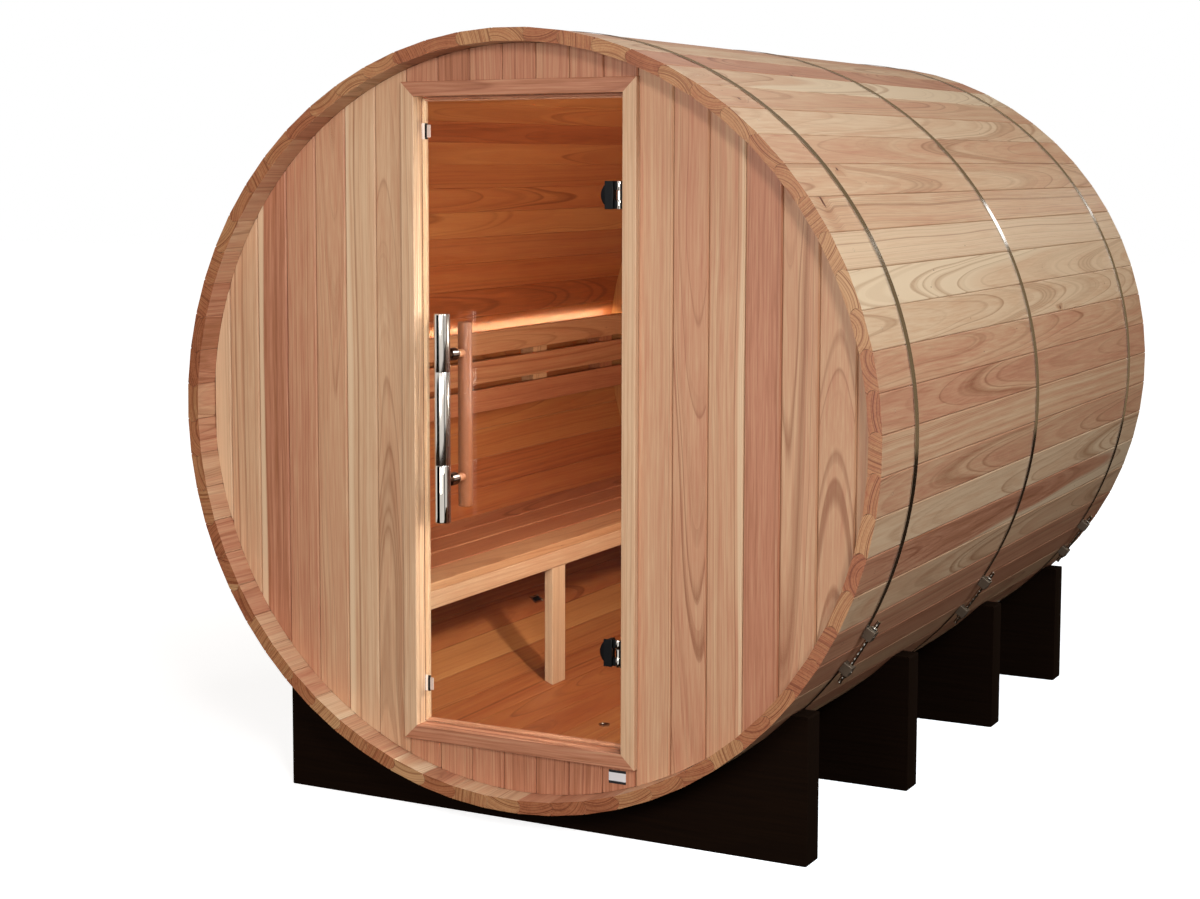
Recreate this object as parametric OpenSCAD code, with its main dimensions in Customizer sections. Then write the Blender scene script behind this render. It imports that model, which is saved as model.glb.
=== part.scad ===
// Barrel sauna: horizontal cedar barrel on four cradles, with a glass door in
// its recessed front wall. All sizes in millimetres.
// X runs to the right seen from the front, Y runs from the front (door) to the
// back, Z is up. The origin is at the middle of the footprint, on the ground.

/* [Barrel] */
// Outside diameter of the barrel
barrel_d = 1830; // [1810:10:2300]
// Length of the barrel along its staves
barrel_l = 2360; // [1600:10:3600]
// Number of staves round the barrel, a multiple of eight
stave_count = 64; // [48:8:80]
// Thickness of a stave
stave_t = 31; // [22:1:45]
// Turn of the stave pattern about the barrel's axis, in degrees
stave_turn = 1.94; // [0:0.01:5]
// Seam between two staves
stave_seam = 0.3; // [0.2:0.1:0.6]
// Eased edge along each outer stave corner
stave_ease = 2; // [1:0.5:4]
// Height of the barrel's lowest line above the ground
barrel_lift = 62.4; // [30:0.2:160]

/* [Cradles] */
// Width of a cradle board across the barrel
cradle_w = 1406; // [900:2:1500]
// Height of a cradle board at its two ends
cradle_h = 345; // [200:1:400]
// Thickness of a cradle board along the barrel
cradle_t = 70; // [35:1:100]
// Front face of the first cradle, from the front end of the barrel
cradle_1 = 137; // [60:1:300]
// Front face of the second cradle, from the front end of the barrel
cradle_2 = 826; // [500:1:1100]
// Back face of the third cradle, from the back end of the barrel
cradle_3 = 743; // [500:1:1000]
// Back face of the last cradle, from the back end of the barrel
cradle_4 = 99; // [60:1:150]

/* [End walls] */
// Depth of the front wall's face behind the stave ends
front_recess = 69; // [50:1:150]
// Depth of the back wall's face behind the stave ends
back_recess = 8; // [4:1:150]
// Thickness of an end wall
wall_t = 38; // [25:1:60]
// Face width of a wall board, seam to seam
board_w = 87.5; // [60:0.5:140]
// Seam between two wall boards
board_seam = 0.3; // [0.2:0.1:0.6]
// Narrowest strip of board left beside an edge
board_min = 20; // [10:1:35]
// Running fit between a wall and the staves, and between fixed pieces
fit = 0.3; // [0.2:0.05:0.5]

/* [Door opening] */
// Clear width between the jambs
opening_w = 551; // [450:1:700]
// Clear height from sill to head
opening_h = 1516; // [1100:1:1560]
// Height of the sill's top above the barrel's lowest outer line
sill_h = 163; // [120:1:260]
// Thickness of jambs, head and sill
jamb_t = 30; // [20:1:40]
// Width of the casing round the opening
casing_w = 35; // [34:1:80]
// How far the casing stands proud of the wall
casing_t = 17; // [10:1:30]
// Width of the door stop inside the opening
stop_w = 11; // [8:1:20]
// Depth of the door stop
stop_t = 12; // [8:1:20]

/* [Door] */
// Thickness of the glass
glass_t = 8; // [6:1:12]
// Glass face behind the wall's face
glass_in = 11; // [8:1:16]
// Gap between the glass and the jamb on its handle side, head and sill
glass_gap = 6; // [5.5:0.5:10]
// Gap between the glass and the jamb on its hinge side
hinge_gap = 5; // [5:0.5:10]
// Gap between the glass and the door stop
stop_gap = 7; // [6.5:0.5:12]
// Hinge pin from the hinge-side jamb
pin_in = 13.5; // [12:0.5:16]
// Hinge pin in front of the glass
pin_fwd = 12; // [11:0.5:16]
// Diameter of a hinge knuckle
knuckle_d = 12; // [10:1:14]
// Diameter of a hinge pin
pin_d = 6; // [5:0.5:8]
// Height of a hinge
hinge_h = 64; // [48:1:90]
// Thickness of the hinge's outer clamp plate
clamp_out = 10; // [8:0.5:12]
// Thickness of the hinge's inner clamp plate
clamp_in = 6; // [4:0.5:10]
// Thickness of the leaf that carries the door's knuckles
leaf_t = 2; // [1.5:0.5:3]
// Gap between two knuckles
knuckle_gap = 0.6; // [0.3:0.1:1]
// Gap between a hinge's knuckles and its round clamp plates
clamp_gap = 12.5; // [3:0.5:20]
// Thickness of the hinge's plate on the jamb
hinge_plate = 3; // [2:0.5:4]
// Upper hinge's centre below the head
hinge_top = 230; // [120:1:400]
// Lower hinge's centre above the sill
hinge_low = 232; // [120:1:400]

/* [Catches] */
// Height of a catch
catch_h = 38; // [24:1:60]
// Depth of a catch's body
catch_t = 4; // [2:0.5:5]
// Upper catch's middle below the head
catch_top = 81; // [60:1:160]
// Lower catch's middle above the sill
catch_low = 98; // [60:1:160]
// Width of a strike plate on the glass
strike_w = 16; // [12:1:26]
// Height of a strike plate
strike_h = 30; // [20:1:44]
// Thickness of a strike plate
strike_t = 1.5; // [1:0.5:2]
// Strike plate from the glass's free edge
strike_in = 6; // [4:1:12]
// Width of the label plate
label_w = 44; // [20:1:80]
// Height of the label plate
label_h = 32; // [15:1:60]
// Thickness of the label plate
label_t = 1; // [0.8:0.1:2]
// Right edge of the label plate from the barrel's middle
label_x = 282; // [100:1:300]
// Top of the label plate below the door frame
label_down = 14; // [12:1:30]

/* [Handle] */
// Diameter of the outer metal bar
bar_d = 38; // [20:1:40]
// Length of the outer metal bar
bar_l = 498; // [300:1:900]
// Outer bar's axis in front of the glass
bar_fwd = 56; // [36:1:58]
// Diameter of the inner wooden bar
grip_d = 35; // [20:1:40]
// Length of the inner wooden bar
grip_l = 446; // [300:1:900]
// Inner bar's axis behind the glass
grip_back = 46; // [36:1:80]
// Distance between the two stand-offs
post_pitch = 299; // [200:1:600]
// Diameter of a stand-off
post_d = 22; // [10:1:30]
// Handle axis from the glass's free edge
handle_in = 88; // [60:1:160]
// Height of the handle's middle above the sill
handle_z = 758; // [500:1:1000]

/* [Hoops] */
// Width of a hoop
hoop_w = 25; // [15:1:40]
// Thickness of a hoop
hoop_t = 1.2; // [0.8:0.1:3]
// First hoop's middle from the front end of the barrel
hoop_1 = 221; // [120:1:500]
// Second hoop's middle from the front end of the barrel
hoop_2 = 1176; // [600:1:1700]
// Last hoop's middle from the back end of the barrel
hoop_3 = 210; // [120:1:500]
// Angle of the first hoop's tensioner below the barrel's side, in degrees
clamp_1 = 31.8; // [10:0.2:40]
// Angle of the middle hoop's tensioner below the barrel's side, in degrees
clamp_2 = 35.2; // [10:0.2:40]
// Angle of the last hoop's tensioner below the barrel's side, in degrees
clamp_3 = 34.4; // [10:0.2:40]
// Distance between a tensioner's two lugs
clamp_pitch = 100; // [60:1:160]
// Length of a tensioner rod
clamp_rod = 176; // [130:1:240]
// Height of a tensioner lug above the barrel
lug_h = 24; // [18:1:36]
// Thickness of a tensioner lug
lug_t = 26; // [6:1:34]
// Diameter of a tensioner rod
rod_d = 8; // [6:1:12]
// Length of a nut on a tensioner rod
nut_h = 7; // [5:0.5:10]
// Width of a nut across its corners
nut_d = 14.4; // [10:0.2:20]

/* [Bench] */
// Height of the bench top above the barrel's inner floor line
bench_h = 452; // [380:1:520]
// Bench front edge from the barrel's middle
bench_x = 319; // [250:1:420]
// Number of bench slats
bench_slats = 4; // [3:1:6]
// Thickness of a bench slat
slat_t = 22; // [18:1:35]
// Gap between two bench slats
slat_gap = 6; // [4:1:20]
// Height of the rails under the slats
rail_h = 45; // [30:1:90]
// Thickness of a bench rail or post
rail_t = 25; // [20:1:45]
// Width of a bench post along the barrel
post_w = 75; // [45:1:110]
// Middle of the first bench post from the front end of the barrel
post_1 = 875; // [500:1:1100]
// Middle of the last bench post from the back end of the barrel
post_2 = 560; // [300:1:900]
// Gap between the bench and each end wall
bench_end = 3; // [2:1:20]

/* [Backrest] */
// Top of the backrest above the bench top
rest_top = 533; // [350:1:600]
// Width of a backrest slat
rest_w = 69; // [45:1:110]
// Gap between two backrest slats
rest_gap = 18; // [8:1:30]
// Number of backrest slats
rest_slats = 3; // [2:1:4]
// Thickness of a backrest slat
rest_t = 20; // [15:1:30]
// Face of the backrest from the wall, at its middle height
rest_fwd = 66; // [50:1:140]
// Width of a backrest cleat along the barrel
cleat_w = 90; // [45:1:110]
// Middle of the first cleat from the front end of the barrel
cleat_1 = 360; // [260:1:700]
// Middle of the second cleat from the back end of the barrel
cleat_2 = 637; // [400:1:1000]
// Middle of the last cleat from the back end of the barrel
cleat_3 = 170; // [160:1:350]
// How far a cleat stays above the lowest slat's lower edge
cleat_in = 12; // [5:1:25]

/* [Light strip] */
// Height of the light strip behind the top slat
strip_h = 8; // [5:1:10]
// Thickness of the light strip
strip_t = 11.7; // [6:0.1:16]
// Top of the light strip below the top slat's upper edge
strip_down = 3; // [0:1:10]
// Light strip's ends inside the slat's ends
strip_end = 4; // [2:1:60]

/* [Hidden] */
R = barrel_d / 2;
step = 360 / stave_count;
axis_z = barrel_lift + R;
y_front = -barrel_l / 2;
y_back = barrel_l / 2;
r_out_mid = R * cos(step / 2);
r_in_mid = r_out_mid - stave_t;
wall_r = r_in_mid - fit;
wall_top = axis_z + R;
grip_fit = 0.1;
y_wall = y_front + front_recess;
y_wall_in = y_wall + wall_t;
y_bwall = y_back - back_recess;
y_bwall_in = y_bwall - wall_t;
sill_z = barrel_lift + sill_h;
head_z = sill_z + opening_h;
rough_x = opening_w / 2 + jamb_t;
frame_zl = sill_z - jamb_t;
frame_zh = head_z + jamb_t;
y_glass = y_wall + glass_in;
y_glass_in = y_glass + glass_t;
y_stop = y_glass_in + stop_gap;
glass_x0 = -opening_w / 2 + glass_gap;
glass_x1 = opening_w / 2 - hinge_gap;
pin_x = opening_w / 2 - pin_in;
pin_y = y_glass - pin_fwd;
third = hinge_h / 3;
pin_fit = 0.05;
handle_x = glass_x0 + handle_in;
hand_z = sill_z + handle_z;
floor_z = axis_z - r_in_mid;
bench_z = floor_z + bench_h;
hoop_r = R + fit + hoop_t;
HOOPS = [[y_front + hoop_1, clamp_1], [y_front + hoop_2, clamp_2], [y_back - hoop_3, clamp_3]];
CRADLES = [y_front + cradle_1, y_front + cradle_2,
    y_back - cradle_3 - cradle_t, y_back - cradle_4 - cradle_t];

// Extrudes an XZ outline, drawn about the barrel's axis, from y0 to y1.
module along_y(y0, y1) {
    translate([0, y1, axis_z]) rotate([90, 0, 0]) linear_extrude(y1 - y0) children();
}

module box(p, q) { translate(p) cube([q[0] - p[0], q[1] - p[1], q[2] - p[2]]); }

// One stave: flat faces, outer corners on the barrel's outside circle.
module stave_outline() {
    wo = R * sin(step / 2) - stave_seam / 2;
    wc = (r_out_mid - stave_ease) * tan(step / 2) - stave_seam / 2;
    wi = r_in_mid * tan(step / 2) - stave_seam / 2;
    polygon([[r_in_mid, -wi], [r_out_mid - stave_ease, -wc], [r_out_mid, -wo + stave_ease],
        [r_out_mid, wo - stave_ease], [r_out_mid - stave_ease, wc], [r_in_mid, wi]]);
}

// An eighth of the barrel, its staves centred near angle a.
module staves(a) {
    n = stave_count / 8;
    k0 = round((a - stave_turn) / step - n / 2);
    color("#b5805a") for (k = [k0:k0 + n - 1])
        along_y(y_front, y_back) rotate(stave_turn + (k + 0.5) * step) stave_outline();
}

// Seams between lo and hi of boards laid out from the barrel's middle.
function seams(lo, hi) = concat([lo],
    [for (k = [-20:20]) let (x = (k + 0.5) * board_w)
        if (x > lo + board_min && x < hi - board_min) x], [hi]);

// Upright boards between x lo..hi and z zl..zh, cut to the round wall.
module boards(lo, hi, zl, zh, y0, y1) {
    s = seams(lo, hi);
    color("#b9855f") for (i = [0:len(s) - 2])
        intersection() {
            along_y(y0, y1) circle(r = wall_r, $fn = 180);
            box([s[i] + board_seam / 2, y0 - 1, zl], [s[i + 1] - board_seam / 2, y1 + 1, zh]);
        }
}

// Four mitred bars round the opening, from a to b outside its clear edges.
module ring_bars(a, b, y0, y1) {
    x0 = opening_w / 2 + a;
    x1 = opening_w / 2 + b;
    z0 = sill_z - a;
    z1 = sill_z - b;
    z2 = head_z + a;
    z3 = head_z + b;
    translate([0, y1, 0]) rotate([90, 0, 0]) linear_extrude(y1 - y0) {
        polygon([[-x1, z1], [x1, z1], [x0, z0], [-x0, z0]]);
        polygon([[-x1, z3], [x1, z3], [x0, z2], [-x0, z2]]);
        polygon([[-x1, z1], [-x0, z0], [-x0, z2], [-x1, z3]]);
        polygon([[x1, z1], [x0, z0], [x0, z2], [x1, z3]]);
    }
}

// Hoop round the barrel, its two ends drawn together by a rod through lugs.
module hoop(place) {
    y = place[0];
    half = asin(clamp_pitch / 2 / hoop_r);
    reach = 2 * R * [cos(half), sin(half)];
    color("#b8b8b8") {
        along_y(y - hoop_w / 2, y + hoop_w / 2) rotate(-place[1]) difference() {
            union() {
                difference() {
                    circle(r = hoop_r, $fn = 180);
                    polygon([[0, 0], [reach[0], -reach[1]], reach]);
                }
                for (s = [-1, 1]) translate([r_in_mid, (s * clamp_pitch - lug_t) / 2])
                    square([R + lug_h - r_in_mid, lug_t]);
            }
            circle(r = R + fit, $fn = 180);
        }
        translate([0, y, axis_z]) rotate([0, place[1], 0]) translate([R + lug_h - rod_d, 0, 0]) {
            cylinder(d = rod_d, h = clamp_rod, center = true, $fn = 32);
            for (s = [-1, 1]) translate([0, 0, s * (clamp_pitch + lug_t + nut_h) / 2])
                cylinder(d = nut_d, h = nut_h, center = true, $fn = 6);
        }
    }
}

module cradle(i) {
    color("#1c1613") difference() {
        box([-cradle_w / 2, CRADLES[i], 0], [cradle_w / 2, CRADLES[i] + cradle_t, cradle_h]);
        translate([0, CRADLES[i] + cradle_t / 2, axis_z]) rotate([90, 0, 0])
            cylinder(r = R + fit, h = cradle_t + 2, center = true, $fn = 180);
    }
}

// X of the inner wall on the left at height z.
function wall_x(z) = -sqrt(pow(wall_r, 2) - pow(z - axis_z, 2));

// What child shapes keep inside the barrel and its round walls.
module inside_barrel() {
    intersection() {
        children();
        along_y(y_front, y_back) circle(r = wall_r, $fn = 180);
    }
}

bench_back = wall_x(bench_z - slat_t) + fit;
slat_w = (-bench_x - bench_back - (bench_slats - 1) * slat_gap) / bench_slats;
rail_z = bench_z - slat_t;
by0 = y_wall_in + bench_end;
by1 = y_bwall_in - bench_end;
POSTS = [y_front + post_1, y_back - post_2];

module bench_slats() {
    color("#a86f47") for (i = [0:bench_slats - 1]) {
        x = bench_back + i * (slat_w + slat_gap);
        box([x, by0, rail_z], [x + slat_w, by1, bench_z]);
    }
}

// Front rail under the front slat, and cross rails from it to the wall.
module bench_rails() {
    color("#c08a60") {
        box([-bench_x - rail_t, by0, rail_z - rail_h], [-bench_x, by1, rail_z]);
        for (y = [by0 + post_w / 2, POSTS[0], POSTS[1], by1 - post_w / 2]) inside_barrel()
            box([-R, y - rail_t / 2, rail_z - rail_h],
                [-bench_x - rail_t - fit, y + rail_t / 2, rail_z]);
    }
}

module bench_posts() {
    color("#c08a60") for (y = POSTS) inside_barrel()
        box([-bench_x - rail_t, y - post_w / 2, 0], [-bench_x, y + post_w / 2, rail_z - rail_h]);
}

rest_z = bench_z + rest_top;
rest_h = rest_slats * rest_w + (rest_slats - 1) * rest_gap;
rest_x = wall_x(rest_z - rest_h / 2) + rest_fwd;

module backrest_slats() {
    color("#a86f47") for (i = [0:rest_slats - 1])
        box([rest_x - rest_t, by0, rest_z - rest_w - i * (rest_w + rest_gap)],
            [rest_x, by1, rest_z - i * (rest_w + rest_gap)]);
}

module backrest_cleats() {
    color("#8f5a38") for (y = [y_front + cleat_1, y_back - cleat_2, y_back - cleat_3]) inside_barrel()
        box([-R, y - cleat_w / 2, rest_z - rest_h + cleat_in],
            [rest_x - rest_t, y + cleat_w / 2, rest_z - strip_down - strip_h - fit]);
}

module light_strip() {
    top = rest_z - strip_down;
    color("#ffd9a0") box([rest_x - rest_t - strip_t, by0 + strip_end, top - strip_h],
        [rest_x - rest_t, by1 - strip_end, top]);
}

// Knuckles of one hinge on the jamb's side (the middle third) or on the door's.
module knuckles(thirds) {
    for (s = thirds) translate([pin_x, pin_y, s * third])
        cylinder(d = knuckle_d, h = third - knuckle_gap, center = true, $fn = 48);
}

// Jamb side of a hinge: middle knuckle, its pin, and the plate on the jamb.
module hinge_frame(zc) {
    h = third - knuckle_gap;
    color("#c8c8c8") translate([0, 0, zc]) {
        knuckles([0]);
        translate([pin_x, pin_y, 0]) cylinder(d = pin_d, h = hinge_h, center = true, $fn = 48);
        box([pin_x, pin_y - pin_d / 2, -h / 2], [opening_w / 2 - fit, pin_y + pin_d / 2, h / 2]);
        box([opening_w / 2 - hinge_plate, pin_y - knuckle_d, -hinge_h / 2],
            [opening_w / 2, pin_y + knuckle_d * 2 / 3, hinge_h / 2]);
    }
}

// Door side of a hinge: round-ended clamp plates on the glass, and two knuckles.
module hinge_door(zc) {
    clamp_x = pin_x - knuckle_d / 2 - clamp_gap;
    reach = hinge_h / 2;
    leaf_h = third - knuckle_gap;
    leaf_y = y_glass - clamp_out;
    color("#222222") translate([0, 0, zc]) {
        difference() {
            union() {
                knuckles([-1, 1]);
                for (s = [-1, 1]) box([clamp_x - knuckle_d / 2, leaf_y, s * third - leaf_h / 2],
                    [pin_x, leaf_y + leaf_t, s * third + leaf_h / 2]);
            }
            translate([pin_x, pin_y, 0])
                cylinder(d = pin_d + 2 * pin_fit, h = hinge_h + 2, center = true, $fn = 48);
        }
        for (f = [[y_glass - clamp_out, y_glass], [y_glass_in, y_glass_in + clamp_in]])
            intersection() {
                translate([clamp_x, f[1], 0]) rotate([90, 0, 0])
                    cylinder(r = reach, h = f[1] - f[0], $fn = 64);
                box([clamp_x - reach, f[0], -reach], [clamp_x, f[1], reach]);
            }
    }
}

// Outer bar on its stand-offs, and the stand-offs that carry the inner bar.
module door_handle() {
    post_in = grip_back - grip_d / 2 - grip_fit;
    sunk = 3;
    color("#d0d0d0") {
        translate([handle_x, y_glass - bar_fwd, hand_z])
            cylinder(d = bar_d, h = bar_l, center = true, $fn = 64);
        for (s = [-1, 1]) translate([handle_x, y_glass, hand_z + s * post_pitch / 2]) {
            rotate([90, 0, 0]) cylinder(d = post_d, h = bar_fwd - bar_d / 2 + sunk, $fn = 32);
            translate([0, glass_t + post_in, 0]) rotate([90, 0, 0])
                cylinder(d = post_d, h = post_in, $fn = 32);
        }
    }
}

module door_grip() {
    color("#c08a60") translate([handle_x, y_glass_in + grip_back, hand_z])
        cylinder(d = grip_d, h = grip_l, center = true, $fn = 64);
}

module door_glass() {
    color("#9fb8b4", 0.35)
        box([glass_x0, y_glass, sill_z + glass_gap], [glass_x1, y_glass_in, head_z - glass_gap]);
}

CATCHES = [sill_z + catch_low, head_z - catch_top];

module door_catches() {
    color("#1a1a1a") for (z = CATCHES)
        box([-opening_w / 2, y_stop - catch_t, z - catch_h / 2],
            [glass_x0 + stop_w, y_stop, z + catch_h / 2]);
}

module door_strikes() {
    x = glass_x0 + strike_in;
    color("#d0d0d0") for (z = CATCHES)
        box([x, y_glass_in, z - strike_h / 2], [x + strike_w, y_glass_in + strike_t, z + strike_h / 2]);
}

module label_plate() {
    color("#f2f2f2") box([label_x - label_w, y_wall - label_t, frame_zl - label_down - label_h],
        [label_x, y_wall, frame_zl - label_down]);
}

staves(90);  // staves_top
staves(135);  // staves_upper_left
staves(180);  // staves_left
staves(225);  // staves_lower_left
staves(270);  // staves_bottom
staves(315);  // staves_lower_right
staves(360);  // staves_right
staves(405);  // staves_upper_right
boards(-wall_r, -rough_x - fit, 0, wall_top, y_wall, y_wall_in);  // front_wall_left
boards(rough_x + fit, wall_r, 0, wall_top, y_wall, y_wall_in);  // front_wall_right
boards(-rough_x - fit, rough_x + fit, frame_zh + fit, wall_top, y_wall, y_wall_in);  // front_wall_top
boards(-rough_x - fit, rough_x + fit, 0, frame_zl - fit, y_wall, y_wall_in);  // front_wall_bottom
boards(-wall_r, wall_r, 0, wall_top, y_bwall_in, y_bwall);  // back_wall
color("#b27a52") ring_bars(0, jamb_t, y_wall, y_wall_in);  // door_frame
color("#c4926a") ring_bars(0, casing_w, y_wall - casing_t, y_wall);  // door_casing
color("#a86f47") ring_bars(-stop_w, 0, y_stop, y_stop + stop_t);  // door_stop
hoop(HOOPS[0]);  // hoop_front
hoop(HOOPS[1]);  // hoop_middle
hoop(HOOPS[2]);  // hoop_back
cradle(0);  // cradle_1
cradle(1);  // cradle_2
cradle(2);  // cradle_3
cradle(3);  // cradle_4
bench_slats();
bench_rails();
bench_posts();
backrest_slats();
backrest_cleats();
light_strip();
hinge_frame(head_z - hinge_top);  // hinge_frame_upper
hinge_frame(sill_z + hinge_low);  // hinge_frame_lower
door_catches();
label_plate();
door_glass();
hinge_door(head_z - hinge_top);  // hinge_door_upper
hinge_door(sill_z + hinge_low);  // hinge_door_lower
door_handle();
door_grip();
door_strikes();
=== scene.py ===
import math
import random

import bmesh
import bpy
import numpy as np
from mathutils import Matrix, Vector


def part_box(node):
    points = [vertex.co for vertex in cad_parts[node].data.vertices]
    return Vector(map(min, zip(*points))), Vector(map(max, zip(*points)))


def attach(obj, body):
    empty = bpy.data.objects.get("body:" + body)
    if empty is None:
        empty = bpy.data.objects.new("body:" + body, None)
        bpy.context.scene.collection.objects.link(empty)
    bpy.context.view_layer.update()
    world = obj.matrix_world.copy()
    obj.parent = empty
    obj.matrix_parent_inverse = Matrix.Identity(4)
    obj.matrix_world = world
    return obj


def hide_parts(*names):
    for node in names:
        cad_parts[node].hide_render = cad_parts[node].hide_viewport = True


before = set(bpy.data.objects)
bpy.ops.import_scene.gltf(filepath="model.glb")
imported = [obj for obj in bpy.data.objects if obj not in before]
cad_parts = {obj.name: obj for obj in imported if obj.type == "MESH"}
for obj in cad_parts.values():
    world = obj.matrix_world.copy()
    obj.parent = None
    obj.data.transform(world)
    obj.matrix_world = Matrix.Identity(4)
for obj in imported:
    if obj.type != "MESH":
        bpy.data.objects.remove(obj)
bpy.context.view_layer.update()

bl_info = {
    "name": "Barrel sauna",
    "version": (1, 0, 0),
    "blender": (4, 5, 0),
    "location": "3D View > Sidebar > Sauna",
    "description": "Models and finishes a cedar barrel sauna round its packed frame",
    "category": "Object",
}

SECTORS = {
    "staves_top": 90, "staves_upper_left": 135, "staves_left": 180, "staves_lower_left": 225,
    "staves_bottom": 270, "staves_lower_right": 315, "staves_right": 360, "staves_upper_right": 405,
}
# How pale the boards are, from 0 (russet) to 1 (cream). Staves count upwards from the right-hand side, and
# wall boards to the right from the middle. A board that isn't named here gets its tone by chance.
STAVE_TONES = {
    -9: 0.4, -8: 0.6, -7: 0.3, -6: 0.35, -5: 0.75, -4: 0.25, -3: 0.9, -2: 0.5, -1: 0.6, 0: 0.4, 1: 0.5,
    2: 0.9, 3: 0.95, 4: 1.0, 5: 0.7, 6: 0.7, 7: 0.6, 8: 0.85, 9: 0.6, 10: 0.75, 11: 0.3, 12: 0.8, 13: 0.5,
    21: 0.6, 22: 0.25, 23: 0.55, 24: 0.5, 25: 0.5, 26: 0.75, 27: 0.5, 28: 0.35, 29: 0.15, 30: 0.15, 31: 0.6,
}
WALL_TONES = {
    -10: 1.0, -9: 0.75, -8: 0.2, -7: 0.4, -6: 0.6, -5: 0.85, -4: 0.75, 4: 0.6, 5: 0.5, 6: 0.6, 7: 0.3, 8: 0.6,
    9: 0.65, 10: 0.6,
}
# Wall boards that turn to sapwood, and how far to the right of their middle that begins.
SAPWOOD = {-8: -0.024, -5: -0.022, 6: 0.034}
# From this stave on, over the top and down the left, all are heartwood.
HEARTWOOD_FROM = 20
# The room whose wood is drawn darker and redder, as painted shade for its dim light: height of its axis,
# its radius, and its middle and half length along the barrel.
ROOM_AXIS, ROOM_RADIUS, ROOM_MIDDLE, ROOM_REACH = 0.9774, 0.8855, 0.03, 1.11
# The share of a stave's thickness that its bead and its cove take up.
BEAD_SHARE = 0.8
AXES = {"x": 0, "y": 1, "z": 2}
LIE = {"x": (0, math.pi / 2, 0), "y": (math.pi / 2, 0, 0), "z": (0, 0, 0)}
MM = 0.001


def linear(colour):
    """An sRGB hex colour as the linear values that Blender works in."""
    parts = [int(colour[i:i + 2], 16) / 255 for i in (1, 3, 5)]
    return tuple(c / 12.92 if c <= 0.04045 else ((c + 0.055) / 1.055) ** 2.4 for c in parts)


def size(name, description, default):
    """A length that a user can change, in metres."""
    return bpy.props.FloatProperty(
        name=name, description=description, default=default, min=0, unit="LENGTH", subtype="DISTANCE",
        precision=5)


def shade(name, description, default):
    """A colour that a user can change, given as sRGB hex."""
    return bpy.props.FloatVectorProperty(
        name=name, description=description, default=linear(default), size=3, min=0, max=1, subtype="COLOR")


def power(name, description, default):
    """The strength of a light that a user can change."""
    return bpy.props.FloatProperty(name=name, description=description, default=default, min=0)


# ------------------------------------------------------------------ settings


class BarrelSettings(bpy.types.PropertyGroup):
    """Sizes of the staves and the barrel that they make"""

    radius: size("Radius", "Outside radius of the barrel, at a stave's corners", 0.915)
    lift: size("Lift", "Lowest line of the barrel above the ground", 0.0624)
    thickness: size("Stave thickness", "Thickness of a stave", 0.031)
    seam: size("Seam", "Gap between two staves", 0.0007)
    ease: size("Outer edge", "Eased edge along a stave's outer corners", 0.0026)
    inner_ease: size("Inner edge", "Eased edge along a stave's inner corners", 0.001)
    bead: size("Bead", "How far the rounded edge of a stave reaches into its neighbour", 0.0085)
    staves: bpy.props.IntProperty(
        name="Staves", description="Number of staves round the barrel", default=64, min=8)
    turn: bpy.props.FloatProperty(
        name="Turn", description="Turn of the stave pattern about the barrel's axis",
        default=math.radians(1.94), unit="ROTATION", subtype="ANGLE")
    hoop: size("Hoop thickness", "Thickness of a hoop", 0.0012)
    fit: size("Fit", "Gap between neighbouring fixed pieces", 0.0003)


class WallSettings(bpy.types.PropertyGroup):
    """Sizes of the end walls' boards"""

    board: size("Board width", "Face width of a wall board, seam to seam", 0.0875)
    seam: size("Seam", "Gap between two wall boards", 0.0009)
    ease: size("Edge", "Eased edge along a wall board", 0.0035)
    least: size("Narrowest strip", "Narrowest strip of board left beside an edge", 0.02)


class DoorSettings(bpy.types.PropertyGroup):
    """Sizes of the doorway, the pane and what is fixed to it"""

    clear_width: size("Clear width", "Clear width between the jambs", 0.551)
    clear_height: size("Clear height", "Clear height from sill to head", 1.516)
    sill: size("Sill", "Height of the sill's top above the ground", 0.2254)
    jamb: size("Jamb", "Thickness of jambs, head and sill", 0.03)
    casing: size("Casing", "Width of the casing round the opening", 0.035)
    stop: size("Stop", "Width of the door stop", 0.011)
    ease: size("Edge", "Eased edge of the casing and the frame", 0.0018)
    grip_middle: size("Satin middle", "Length of the outer bar's satin middle part", 0.222)
    grip_pitch: size("Stand-off distance", "Distance between the handle's two stand-offs", 0.299)
    post: size("Stand-off post", "Diameter of a stand-off's post", 0.018)
    sleeve: size("Sleeve", "Diameter of the ribbed sleeve on a post", 0.031)
    washer: size("Washer", "Diameter of the washer inside the glass", 0.024)
    dowel: size("Dowel", "Diameter of the dowels that hold the inner bar", 0.02)
    arris: size("Glass edge", "Ground edge of the pane", 0.0009)
    catch: size("Catch", "Height of a catch", 0.038)
    strike: size("Strike plate", "Height of a strike plate", 0.03)


class HingeSettings(bpy.types.PropertyGroup):
    """Sizes of the glass hinges"""

    clamp: size("Clamp", "Thickness of the clamp's plate outside the glass", 0.008)
    cover: size("Cover", "Width of the raised cover on the clamp", 0.021)
    cover_height: size("Cover height", "How far the cover stands proud of the clamp", 0.003)
    overhang: size("Overhang", "How far the cover passes the clamp's flat side", 0.0045)
    knuckle: size("Knuckle", "Diameter of a knuckle", 0.012)
    flange: size("Flange", "Diameter of the flanges at the middle knuckle", 0.0155)
    pin: size("Pin", "Diameter of the pin's ends", 0.0075)
    pin_out: size("Pin distance", "From the glass out to the middle of the pin", 0.012)
    joint_gap: size("Gap", "Gap between two knuckles", 0.0006)


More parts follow.
